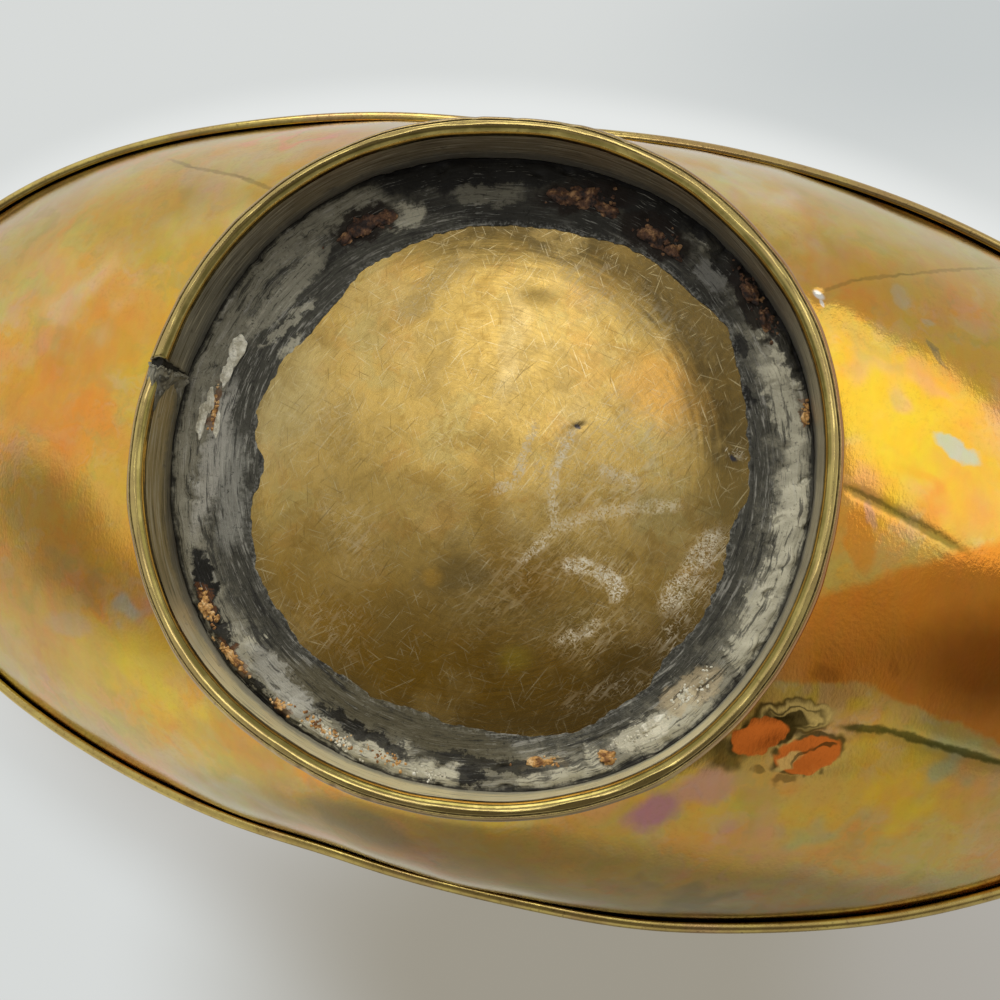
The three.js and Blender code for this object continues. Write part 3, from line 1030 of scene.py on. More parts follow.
# Clouds: shift of the noise, its scale, low, high, strength, colour
FLANK_CLOUDS = [
    ((0, 0, 0), 0.045, 0.50, 0.60, 0.50, ORANGE),
    ((310, 120, 40), 0.055, 0.52, 0.62, 0.50, MUSTARD),
    ((90, 400, 10), 0.055, 0.55, 0.64, 0.35, PINK),
    ((-200, 50, 90), 0.080, 0.53, 0.62, 0.30, BEIGE),
    ((20, -300, 150), 0.080, 0.52, 0.62, 0.50, OLIVE),
]
# Painted reflections in and round the dents, dark and gold
FLANK_DENT_REFLECTIONS = [
    (64.5, 35.5, 8.2, 3.6, -14, 0.10, 0.85, POOL_DARK),
    (65.5, 34.9, 7.2, 2.7, -14, 0.14, 0.90, POOL_GOLD),
    (65.0, 35.6, 6.4, 2.2, -14, 0.14, 0.85, POOL_DARK),
    (65.4, 35.4, 5.4, 1.6, -14, 0.14, 0.80, POOL_GOLD),
    (64.0, 36.4, 5.0, 1.5, -16, 0.14, 0.90, POOL_DARK),
    (55.0, 44.0, 4.6, 2.6, -45, 0.45, 0.75, POOL_DARK),
    (60.3, 39.4, 6.0, 3.2, -32, 0.10, 0.90, POOL_DARK),
    (69.4, 40.9, 7.0, 3.2, -30, 0.10, 0.85, POOL_DARK),
    (66.0, 46.6, 2.2, 0.8, -30, 0.35, 0.55, POOL_DARK),
    (61.0, 46.4, 1.6, 0.7, -20, 0.35, 0.55, POOL_DARK),
]
# Painted red reflections in the dents
FLANK_RED_REFLECTIONS = [
    (59.8, 39.9, 5.5, 3.0, -32, 0.08, 0.92, POOL_RED),
    (69.2, 41.3, 6.7, 3.1, -30, 0.08, 0.90, POOL_RED),
    (65.8, 43.6, 3.6, 1.0, -38, 0.30, 0.75, POOL_GOLD),
    (71.6, 38.9, 2.4, 0.45, -30, 0.30, 0.80, POOL_DARK),
    (68.0, 42.0, 2.6, 0.35, -55, 0.30, 0.70, POOL_DARK),
]
FLANK_PATCHES = [
    (-82, -11, 11, 7, -30, 0.5, 0.70, ORANGE),
    (-94, 2.5, 16, 8, 7, 0.5, 0.60, DEEP_ORANGE),
    (-106, -9, 7, 4, 5, 0.5, 0.50, PINK),
    (-94.5, -26, 5.5, 3.2, -60, 0.6, 0.55, GREEN),
    (-109, -19, 7.5, 3.2, -15, 0.6, 0.50, GREEN),
    (-77, -43.5, 20, 8, -44, 0.6, 0.40, OLIVE),
    (-66.5, -57, 15, 6.5, -21, 0.6, 0.65, (0.74, 0.56, 0.27)),
    (-104, -29, 9, 5, -38, 0.6, 0.50, SOFT_YELLOW),
    (-85, 54, 17, 8.5, 11, 0.6, 0.60, MUSTARD),
    (-49.5, 56, 10.5, 4.3, 13, 0.6, 0.55, OLIVE),
    (-35, 68, 15, 5.5, 20, 0.6, 0.55, OLIVE),
    (28, 67.5, 18, 6.5, -10, 0.6, 0.50, OLIVE),
    (11, 73, 12, 5, 0, 0.5, 0.40, OLIVE),
    (79, 48.5, 15, 7, -23, 0.6, 0.50, YELLOW),
    (69.5, 63.5, 6.5, 3, -37, 0.6, 0.40, PINK),
    (97, 35.5, 12, 4.6, 20, 0.6, 0.50, OLIVE),
    (75, -22, 21, 11, 11, 0.5, 0.85, YELLOW),
    (81, -12, 6.5, 2.1, 47, 0.5, 0.50, DEEP_ORANGE),
    (92, -12.5, 5.4, 8.5, -8, 0.5, 0.35, ORANGE),
    (69, -66.5, 19, 14, 5, 0.6, 0.40, OLIVE),
    (50, -54.5, 10.5, 7.5, 22, 0.6, 0.40, SOFT_YELLOW),
    (39, -66, 14, 5.5, -4, 0.6, 0.65, (0.80, 0.66, 0.38)),
    (78, -66, 12, 6, -7, 0.6, 0.40, BEIGE),
    (63, -56.5, 4.4, 6.2, -17, 0.6, 0.35, PINK),
    (78.8, -30.3, 10.1, 2.2, 21, 0.60, 0.60, PINK),
    (67.6, -35.6, 8.5, 1.6, 24, 0.60, 0.50, OLIVE),
    (76.3, -18.7, 5.4, 7.7, 11, 0.60, 0.60, YELLOW),
    (99.5, 14.2, 4.4, 8.4, -11, 0.50, 0.55, RED_BROWN),
    (95.4, 37.6, 7.9, 2.9, 0, 0.50, 0.65, BLUE_GREEN),
    (90.6, 31.2, 3.7, 1.8, 6, 0.50, 0.50, MAUVE),
    (52.8, 51.4, 1.9, 1.2, 8, 0.50, 0.75, BLUE_GREY),
    (69.5, 48.2, 11.1, 4.9, -21, 0.60, 0.65, MUSTARD),
    (70.9, 30.8, 8.4, 2.4, -3, 0.50, 0.70, YELLOW),
    (74.1, 56.4, 6.7, 2.2, -24, 0.60, 0.55, BLUE_GREEN),
    (60.1, 62.2, 1.8, 2.8, -9, 0.50, 0.50, ROSE),
    (80.5, 66.9, 13.7, 3.8, -21, 0.60, 0.40, MAUVE),
    (55.5, 75.7, 10.6, 3.9, -6, 0.50, 0.60, GREY_OLIVE),
    (100.2, 44.6, 7.6, 4.7, -20, 0.60, 0.50, ORANGE),
    (-61.9, 39.1, 2.6, 4.4, -6, 0.50, 0.55, ROSE),
    (-65.1, 41.5, 2.6, 2.5, -10, 0.50, 0.70, BLUE_GREY),
    (-55.6, 52.7, 11.4, 9.5, 14, 0.60, 0.70, (0.90, 0.62, 0.06)),
    (-43.1, 75.4, 20.7, 4.3, 4, 0.60, 0.55, BEIGE),
    (-88.0, 37.8, 14.5, 3.0, -7, 0.60, 0.60, OLIVE),
    (-62.6, -68.3, 9.5, 2.2, -12, 0.50, 0.80, (0.90, 0.36, 0.16)),
    # Lighter patches that stand in for brighter reflections: painted reflected light
    (-92, -23, 10, 7, -20, 0.60, 0.45, LIGHT_GOLD),
    (-69, -44, 9, 6, -40, 0.60, 0.35, LIGHT_GOLD),
    (46, -61, 9, 6, -10, 0.60, 0.40, (0.88, 0.70, 0.36)),
    (88, 49, 9, 5, -20, 0.60, 0.45, (0.94, 0.58, 0.03)),
]
FLANK_MARKS = [
    (70.8, 0.9, 5.9, 2.5, 71, 0.25, 0.75, DEEP_ORANGE),
    (72.1, -3.5, 2.6, 1.1, 63, 0.30, 0.60, ROSE),
    (86.1, -19.1, 4.7, 1.8, 17, 0.25, 0.85, BLUE_GREY),
    (73.0, -47.9, 1.8, 2.5, -21, 0.30, 0.45, STAIN),
    (78.5, -43.5, 1.6, 1.0, 9, 0.30, 0.55, STAIN),
    (81.2, -36.6, 2.7, 0.6, 45, 0.30, 0.60, DARK_STAIN),
    (79.8, -38.4, 1.6, 0.5, 35, 0.30, 0.55, DARK_STAIN),
    # The darkest part of the painted brown reflection
    (98.0, 19.0, 15.0, 8.5, -12, 0.65, 0.85, DARK_BROWN),
    (69.3, 25.9, 3.0, 1.6, -5, 0.40, 0.50, RED_BROWN),
    (81.1, 22.9, 1.3, 1.4, -20, 0.40, 0.45, RED_BROWN),
    (43.9, 57.2, 5.4, 3.0, -38, 0.45, 0.92, PURPLE),
    (52.0, 50.7, 5.9, 2.9, -26, 0.45, 0.85, ROSE),
    (64.5, 55.6, 1.8, 4.2, 2, 0.40, 0.50, PINK),
    (-81.3, 47.4, 6.5, 2.5, -8, 0.35, 0.60, MAUVE),
    (-11.0, 73.0, 11.0, 4.6, 12, 0.30, 0.62, GREY_OLIVE),
]
# Lines: painted dark reflections along the creases: points, half width, strength, colour
FLANK_LINES = [
    (CREASES[0][0], 0.42, 0.38, LINE_DARK),
    (CREASES[1][0], 0.80, 0.85, GREEN_DARK),
    (CREASES[2][0], 0.50, 0.42, LINE_DARK),
    (CREASES[3][0], 0.95, 0.66, GREEN_DARK),
]
# A painted glint on the sharp dent
PAINTED_DENT_GLINT = [
    (56.8, -43.6, 1.2, 0.7, 30, 0.4, 0.95, BRIGHT),
    (57.6, -42.0, 0.8, 0.35, 60, 0.4, 0.80, BRIGHT),
]
RED_REFLECTION_SHIFT = (40, 0, 0)
WEDGE_UPPER = ((69.1, 10.9), (96.3, -3.8))
WEDGE_LOWER = [((78.5, 26.6), (61.7, 28.8)), ((104.0, 32.8), (78.5, 26.6))]
WEDGE_REACH = (97, 14, 44, 30, -8, 0.3)


def painted_brown_reflection(g, point):
    """A painted reflection of a dark brown shape: a patch with two straight edges that widens outwards
    over the flank.
    """
    upper = beside(g, point, *WEDGE_UPPER, 1.2)
    lower = g.most(*(beside(g, point, *line, 0.7) for line in WEDGE_LOWER))
    return upper * lower * g.patch(point, *WEDGE_REACH)


def flank_tarnish_and_reflection(g, point, height, drift):
    """Gold with clouds, the stains kept on the mesh, and the painted reflection of a brown shape."""
    colour = g.stain(FLANK_GOLD, FLANK_RIM, height, 18, 48)
    colour = clouded(g, colour, drift, FLANK_CLOUDS, 4, 0.6)
    colour = g.mix(g.attribute("tarnish", "Alpha"), colour, g.attribute("tarnish", "Color"))
    colour = g.mottled(colour, drift, 0.045, (0.4, 0.7, 1.4), 3)
    gentle = g.warp(point, 0.16, 4.5, 4.0)
    # Painted reflection of a dark brown shape, drawn as a brown wedge
    colour = g.mix(painted_brown_reflection(g, gentle) * 0.82, colour, BROWN)
    colour = tinted(g, colour, gentle, FLANK_MARKS)
    return g.mottled(colour, g.vector("MULTIPLY", point, (1.3, 0.5, 1.0)), 0.30, (0.16, 0.20, 0.45), 3)


def flank_wear_and_rim_shade(g, point, height, drift, colour):
    """Wear all over, and painted shade and dark reflection that thicken towards the rim, most on the +Y
    side.
    """
    fine = g.span(g.noise(point, 1.0, 4, 0.7), 0.50, 0.66)
    colour = g.mix(fine * g.span(g.noise(point, 0.05, 2, 0.5), 0.45, 0.60, 0.02, 0.16), colour, WORN)
    # Painted shade in the corner under the rolled rim, and a wider painted dark reflection low on the +Y
    # side
    uneven = height + g.noise(drift, 0.05, 3, 0.6) * 5.0
    colour = g.stain(colour, RIM_PAINTED_SHADE, uneven, 52.5, 55.5, 0.45)
    lower = g.span(uneven, 44.0, 53.0) * sector(g, point, 78, 14, 46)
    return g.mix(lower * 0.75, colour, RIM_PAINTED_SHADE)


def flank_marks(g, point, colour):
    """Painted reflections in the dents, painted dark lines along the creases, and a painted glint on the
    sharp dent.
    """
    colour = tinted(g, colour, g.warp(point, 0.20, 6.0, 2.0), FLANK_DENT_REFLECTIONS)
    stirred = g.warp(g.vector("ADD", point, RED_REFLECTION_SHIFT), 0.21, 5.0, 2.0)
    colour = tinted(g, colour, g.vector("SUBTRACT", stirred, RED_REFLECTION_SHIFT), FLANK_RED_REFLECTIONS)
    shaky = g.warp(point, 0.5, 1.4)
    for line, width, strength, tint in FLANK_LINES:
        colour = tinted(g, colour, shaky, [(*shape, strength, tint) for shape in line_ovals(line, width)])
    return tinted(g, colour, point, PAINTED_DENT_GLINT)


def flank_material():
    material, g = new_material("flank_brass")
    point = g.point()
    height = g.part(point, 2)
    drift = g.warp(point, 0.075, 22.0, 3.5)
    colour = flank_tarnish_and_reflection(g, point, height, drift)
    colour = flank_wear_and_rim_shade(g, point, height, drift, colour)
    colour = flank_marks(g, point, colour)
    ripple = g.noise(g.vector("MULTIPLY", point, (1.0, 0.6, 1.0)), 1.6, 3, 0.55)
    rough = g.span(g.noise(point, 0.04, 3, 0.6), 0.3, 0.7, 0.09, 0.15)
    g.surface(Base_Color=colour, Metallic=1.0, Roughness=rough, Normal=g.bump(ripple, 0.00003))
    return material


# Brass of the base

BASE_GOLD = (0.66, 0.44, 0.12)
BASE_DULL = (0.55, 0.39, 0.14)
BASE_COPPER = (0.64, 0.36, 0.09)
BASE_BROWN = (0.40, 0.22, 0.035)
BASE_SHADE = (0.22, 0.15, 0.05)
BASE_EDGE_DARK = (0.040, 0.028, 0.012)
BASE_DARK_REFLECTION_AND_BROWN = (0.33, 0.175, 0.018)
BASE_GREEN = (0.56, 0.46, 0.17)
BASE_CLOUD_DARK = (0.36, 0.23, 0.06)
BASE_CLOUD_LIGHT = (0.76, 0.52, 0.17)
BASE_WIPED = (0.30, 0.19, 0.05)
BASE_FLECK = (0.24, 0.14, 0.03)
SCRATCH_LIGHT = (0.90, 0.76, 0.44)
SCRATCH_DARK = (0.15, 0.09, 0.02)
RESIDUE = (0.74, 0.68, 0.52)
BASE_CLOUDS = [
    ((0, 0, 0), 0.055, 0.50, 0.62, 0.60, BASE_DULL),
    ((150, 40, 0), 0.070, 0.53, 0.63, 0.50, BASE_COPPER),
    ((-60, 210, 0), 0.060, 0.53, 0.64, 0.45, BASE_GREEN),
    ((75, -130, 0), 0.110, 0.54, 0.64, 0.45, BASE_BROWN),
]
BASE_PATCHES = [
    (32.6, -20.3, 9, 6.5, 11, 0.6, 0.80, (0.80, 0.42, 0.09)),
    (-42, -5.5, 8.0, 14, 10, 0.6, 0.60, (0.66, 0.54, 0.24)),
    (0.5, 21.5, 5.6, 3.4, -25, 0.5, 0.70, BASE_SHADE),
    (4.0, 11.0, 3.0, 10.0, -22, 0.6, 0.50, BASE_BROWN),
    (16, 19.5, 9.5, 5.5, 9, 0.6, 0.60, BASE_BROWN),
    (-17, -33, 9, 2.9, -61, 0.6, 0.50, BASE_SHADE),
    # Painted dark reflection with a brown tone, low on the +X +Y side
    (40, 29, 14, 7, -38, 0.6, 0.70, (0.17, 0.095, 0.015)),
    # A painted highlight: the narrow light streak of the brushed base
    (1.5, -24, 2.2, 10, -4, 0.6, 0.45, (0.95, 0.72, 0.32)),
]
BASE_SPOTS = [
    (-5.1, 23, 1.8, 1.6, -11, 0.7, 0.55, (0.74, 0.42, 0.07)),
    (13.4, 34.8, 2.6, 2.0, -12, 0.8, 0.50, (0.66, 0.48, 0.05)),
    (16.8, -10.3, 0.55, 0.45, 0, 0.3, 0.95, (0.03, 0.03, 0.05)),
    (46.3, -9.5, 0.9, 0.35, 20, 0.4, 0.95, (0.05, 0.05, 0.06)),
]
SCRATCH_SOFT = 0.06
# Scratches: turn, length, width, least noise that draws one
LIGHT_SCRATCHES = [
    (60, 8.0, 0.26, 0.66), (25, 7.0, 0.26, 0.67), (-35, 9.0, 0.28, 0.67), (100, 6.0, 0.24, 0.67),
    (-62, 10.0, 0.30, 0.67), (140, 5.0, 0.22, 0.67), (5, 8.0, 0.26, 0.67),
]
DARK_SCRATCHES = [
    (-48, 8.0, 0.26, 0.67), (15, 9.0, 0.26, 0.67), (75, 6.0, 0.24, 0.67),
    (-70, 8.0, 0.30, 0.67), (120, 11.0, 0.30, 0.67),
]
# Wiped streaks: turn, length, width
WIPES = [(35, 16.0, 1.5), (-50, 20.0, 1.7), (95, 14.0, 1.3)]
# Patches of residue: as the stains, without a colour
RESIDUE_PATCHES = [
    (24, -3, 17, 9.5, -58, 0.7, 0.45),
    (26, 16, 8, 3.7, 9, 0.5, 0.55),
    (46, 8.4, 5.2, 2.9, -61, 0.4, 0.85),
    (43, 18, 11, 2.5, -66, 0.5, 0.75),
    (26, 27.5, 9.2, 4.8, -20, 0.6, 0.42),
    (14, 16, 16, 7.0, -52, 0.7, 0.30),
    (-23, 17, 7.6, 4.6, 48, 0.6, 0.36),
    (-33, -1, 9, 8, -10, 0.7, 0.20),
    (-23, 35, 8, 5.7, 27, 0.6, 0.28),
    (21, -36, 15.6, 3.9, 22, 0.5, 0.25),
    (-17, -33, 7, 3.0, -52, 0.5, 0.35),
    (11, -2, 8.6, 1.2, -61, 0.5, 0.55),
    (32, 37, 9.2, 2.2, -27, 0.5, 0.45),
    (46.3, -9.5, 2.2, 1.1, 10, 0.3, 0.85),
]
# Lines of residue: points, half width, strength
RESIDUE_LINES = [
    ([(16, -9), (14, -1.5), (14.5, 4), (16, 7), (15.5, 11), (11.5, 16.5)], 1.0, 0.80),
    ([(8.5, -8), (7, 2), (3.5, 5)], 1.0, 0.55),
    ([(19, 16), (25, 15.5), (30, 17.5), (29.5, 20.5)], 1.6, 1.00),
    ([(22.5, -3.5), (26.5, -2), (30, -2)], 1.3, 0.60),
    ([(14.5, 11), (22, 6), (31, 2.5), (37.5, 1.5)], 1.4, 0.60),
    ([(21, 30), (25.5, 27.5), (27.5, 25)], 1.2, 0.75),
    ([(45.5, 5), (42, 13), (39, 20.5)], 2.2, 0.80),
]
# Strokes of residue: turn, length, width, low, high, strength
RESIDUE_STROKES = [
    (-62, 3.0, 0.22, 0.60, 0.68, 1.0),
    (-28, 2.2, 0.20, 0.63, 0.71, 0.9),
    (12, 2.0, 0.20, 0.65, 0.72, 0.8),
    (50, 2.6, 0.20, 0.64, 0.72, 0.8),
    (-58, 6.0, 1.0, 0.55, 0.68, 0.50),
    (20, 4.0, 0.8, 0.57, 0.70, 0.40),
]


def base_stains(g, point, drift):
    """Gold with clouds, a painted dark reflection towards +Y, patches, a dark band towards the solder on
    one side, and painted shade along its edge.
    """
    colour = clouded(g, BASE_GOLD, drift, BASE_CLOUDS, 5, 0.68)
    # Darker and browner towards +Y: painted dark reflection together with a brown tone
    colour = g.stain(colour, BASE_DARK_REFLECTION_AND_BROWN, g.part(drift, 1), 12, 40, 0.92)
    colour = tinted(g, colour, drift, BASE_PATCHES)
    streaky = g.noise(g.polar(point, 3.0, 0.9, 0.0), 1.0, 4, 0.7)
    reach = g.vector("LENGTH", g.vector("MULTIPLY", g.warp(point, 0.10, 5.0), (1, 1, 0)))
    reach = reach + (streaky - 0.5) * 11.0
    # Darker in a streaky band along the base's edge on one side
    stain = g.span(reach, 36.5, 47.0) * sector(g, point, 300, 40, 76)
    colour = g.mix(stain * 0.93, colour, BASE_EDGE_DARK)
    # Painted shade, with dirt, along the base's edge by the solder
    colour = g.stain(colour, BASE_SHADE, reach, 43.0, 50.0, 0.60)
    cloudy = g.noise(g.vector("ADD", drift, (33, 71, 0)), 0.07, 5, 0.62)
    colour = g.stain(colour, BASE_CLOUD_DARK, cloudy, 0.50, 0.66, 0.45)
    return g.stain(colour, BASE_CLOUD_LIGHT, cloudy, 0.46, 0.34, 0.30)


def base_marks(g, point, drift, colour):
    """Wiped streaks, flecks, light and dark scratches, and spots."""
    for row in WIPES:
        colour = g.mix(scratches(g, drift, *row, 0.50, 0.66) * 0.15, colour, BASE_WIPED)
    colour = g.stain(colour, BASE_FLECK, g.noise(point, 0.5, 4, 0.7), 0.54, 0.70, 0.14)
    colour = g.mix(scratched(g, point, LIGHT_SCRATCHES) * 0.55, colour, SCRATCH_LIGHT)
    colour = g.mix(scratched(g, point, DARK_SCRATCHES) * 0.55, colour, SCRATCH_DARK)
    return tinted(g, colour, g.warp(point, 0.6, 1.6), BASE_SPOTS)


def base_residue(g, point, drift):
    """Where pale residue lies: patches of grain and strokes, and broken lines."""
    covered = 0.0
    for *shape, strength in RESIDUE_PATCHES:
        covered = g.most(covered, g.patch(drift, *shape) * strength)
    dirt = g.span(g.noise(point, 0.8, 4, 0.75, 1.2), 0.59, 0.67) * 0.8
    for *row, strength in RESIDUE_STROKES:
        dirt = g.most(dirt, scratches(g, point, *row) * strength)
    residue = covered * dirt
    shaky = g.warp(point, 0.45, 3.0)
    broken = g.span(g.noise(point, 1.5, 4, 0.75, 1.5), 0.45, 0.59)
    for line, width, strength in RESIDUE_LINES:
        for shape in line_ovals(line, width):
            residue = g.most(residue, g.patch(shaky, *shape) * strength * broken)
    return residue


def base_material():
    material, g = new_material("base_brass")
    point = g.point()
    brushed = g.noise(g.polar(point, 9.0, 2.2, 0.0), 1.0, 4, 0.7)
    drift = g.warp(point, 0.14, 9.0)
    colour = base_marks(g, point, drift, base_stains(g, point, drift))
    residue = base_residue(g, point, drift)
    g.surface(
        Base_Color=g.mix(residue, colour, RESIDUE),
        Metallic=1.0 - residue * 0.6,
        Roughness=g.span(brushed, 0.3, 0.7, 0.24, 0.29) + residue * 0.35,
        Anisotropic=0.40,
        Tangent=g.out("ShaderNodeTangent", direction_type="RADIAL", axis="Z"),
        Normal=g.bump(g.noise(point, 1.6, 3, 0.6), 0.000006),
    )
    return material


# Brass of the rim and of the plain sides

RIM_GOLD = (0.72, 0.55, 0.16)
RIM_DULL = (0.54, 0.38, 0.12)
RIM_COPPER = (0.60, 0.36, 0.18)
RIM_LIGHT = (0.80, 0.64, 0.20)
RIM_SPECK = (0.14, 0.09, 0.03)
PLAIN_GOLD = (0.72, 0.50, 0.16)
PLAIN_DULL = (0.62, 0.40, 0.12)
PLAIN_SPECK = (0.24, 0.14, 0.04)
PLAIN_SCRATCH = (0.35, 0.23, 0.07)


def rim_material(name):
    material, g = new_material(name)
    point = g.point()
    cloud = g.noise(point, 0.12, 4, 0.6)
    patchy = g.noise(g.vector("ADD", point, (70, 20, 0)), 0.05, 4, 0.65)
    colour = g.stain(RIM_GOLD, RIM_DULL, cloud, 0.35, 0.65)
    copper = g.most(sector(g, point, 300, 12, 30) * 0.5, g.span(patchy, 0.48, 0.66, 0.0, 0.6))
    colour = g.mix(copper, colour, RIM_COPPER)
    colour = g.stain(colour, RIM_LIGHT, patchy, 0.48, 0.30, 0.55)
    colour = g.stain(colour, RIM_SPECK, g.noise(point, 1.1, 4, 0.7), 0.55, 0.70, 0.6)
    scratch = g.noise(g.polar(point, 14.0, 1.5, 1.5), 1.0, 4, 0.7)
    rough = g.span(cloud, 0.3, 0.7, 0.14, 0.24)
    g.surface(Base_Color=colour, Metallic=1.0, Roughness=rough, Normal=g.bump(scratch, 0.00003))
    return material


def plain_brass(name, least_rough, most_rough):
    material, g = new_material(name)
    point = g.point()
    cloud = g.noise(point, 0.03, 5, 0.6, 0.5)
    colour = g.stain(PLAIN_GOLD, PLAIN_DULL, cloud, 0.35, 0.65)
    colour = g.mottled(colour, g.vector("ADD", point, (30, 80, 0)), 0.04, (0.3, 0.4, 0.7), 4)
    colour = g.stain(colour, PLAIN_SPECK, g.noise(point, 0.8, 4, 0.7), 0.60, 0.74, 0.45)
    scratch = g.noise(g.polar(point, 12.0, 1.2, 0.4), 1.0, 4, 0.7)
    colour = g.stain(colour, PLAIN_SCRATCH, scratch, 0.5, 0.8, 0.2)
    rough = g.span(cloud, 0.3, 0.7, least_rough, most_rough)
    g.surface(Base_Color=colour, Metallic=1.0, Roughness=rough, Normal=g.bump(scratch, 0.00003))
    return material


# Brass of the foot

BEAD_GOLD = (0.64, 0.50, 0.17)
BEAD_DULL = (0.54, 0.40, 0.15)
BEAD_OUTER_DARK_REFLECTION = (0.46, 0.31, 0.16)
BEAD_COPPER = (0.46, 0.22, 0.085)
BEAD_STREAK = (0.25, 0.16, 0.05)
BEAD_SPECK = (0.12, 0.08, 0.03)
BEAD_GROOVE_SHADE = (0.045, 0.030, 0.012)
BEAD_TARNISH = (0.20, 0.17, 0.035)
BEAD_EDGE = (0.10, 0.07, 0.03)
WALL_BRASS = (0.54, 0.44, 0.25)
WALL_PALE = (0.82, 0.77, 0.60)
WALL_DARK = (0.12, 0.10, 0.05)
WALL_BLOTCH = (0.07, 0.06, 0.04)
WALL_GREY = (0.22, 0.22, 0.20)
# Sides of the wall: angle, inner and outer reach in degrees, strength, colour
WALL_SIDES_AND_PAINTED_LIGHT = [
    (203, 10, 24, 0.80, (0.36, 0.35, 0.30)),
    (165, 14, 22, 0.55, (0.62, 0.48, 0.22)),
    (10, 40, 70, 0.60, (0.62, 0.59, 0.46)),
    # Painted light: the side of the wall that faces the lamps is paler
    (85, 40, 70, 0.92, (0.86, 0.75, 0.42)),
    # Painted shade: the side of the wall away from the lamps is darker
    (265, 40, 65, 0.60, (0.36, 0.30, 0.22)),
]
# The side of the wall that is less like bare metal: angle, inner and outer reach
WALL_MATT = (85, 40, 70)


def bead_material():
    material, g = new_material("foot_bead_brass")
    point = g.point()
    turn = g.attribute("bead_turn")
    cloud = g.noise(point, 0.15, 5, 0.65)
    specks = g.noise(point, 0.9, 5, 0.7)
    streak = g.noise(g.polar(point, 10.0, 3.0, 3.0), 1.0, 4, 0.7)
    colour = g.stain(BEAD_GOLD, BEAD_DULL, cloud, 0.35, 0.65)
    # The outer half of the bead darker: painted dark reflection
    outer = g.span(turn, 296, 306)
    colour = g.mix(outer * g.span(cloud, 0.3, 0.6, 0.3, 0.8), colour, BEAD_OUTER_DARK_REFLECTION)
    colour = g.mix(outer * sector(g, point, 345, 35, 60) * 0.75, colour, BEAD_COPPER)
    colour = g.stain(colour, BEAD_STREAK, streak, 0.5, 0.8, 0.25)
    colour = g.stain(colour, BEAD_SPECK, specks, 0.56, 0.72, 0.5)
    # Painted shade and dark reflection in the groove of the bead
    groove = g.span(turn, 281, 289) * g.span(turn, 303, 295)
    groove_shade = groove * g.span(specks, 0.65, 0.40, 0.72, 0.95)
    colour = g.mix(groove_shade, colour, BEAD_GROOVE_SHADE)
    valley = g.span(turn, 205, 222) * g.span(turn, 250, 236)
    colour = g.mix(valley * g.span(cloud, 0.30, 0.60, 0.35, 0.80), colour, BEAD_TARNISH)
    colour = g.mix(g.span(turn, 202, 190) * g.span(specks, 0.3, 0.6, 0.5, 0.9), colour, BEAD_EDGE)
    rough = g.span(cloud, 0.3, 0.7, 0.11, 0.19) + groove_shade * 0.3
    g.surface(Base_Color=colour, Metallic=1.0, Roughness=rough, Normal=g.bump(streak, 0.00002))
    return material


def wall_material():
    material, g = new_material("foot_wall_brass")
    point = g.point()
    streak = g.noise(g.polar(point, 5.0, 0.3, 2.4), 1.0, 5, 0.7)
    blotch = g.noise(point, 0.3, 4, 0.7)
    colour = WALL_BRASS
    for angle, inner, outer, strength, tint in WALL_SIDES_AND_PAINTED_LIGHT:
        colour = g.mix(sector(g, point, angle, inner, outer) * strength, colour, tint)
    colour = g.stain(colour, WALL_PALE, streak, 0.51, 0.62, 0.75)
    colour = g.stain(colour, WALL_DARK, streak, 0.47, 0.34, 0.80)
    colour = g.stain(colour, WALL_BLOTCH, blotch, 0.62, 0.75, 0.55)
    colour = g.stain(colour, WALL_GREY, g.part(point, 2) + blotch * 5.0, 10.0, 12.5, 0.6)
    metal = 0.8 - sector(g, point, *WALL_MATT) * 0.45
    rough = g.span(blotch, 0.3, 0.7, 0.34, 0.48)
    g.surface(Base_Color=colour, Metallic=metal, Roughness=rough, Normal=g.bump(streak, 0.00005))
    return material


# Surfaces of the solder and the crumbs

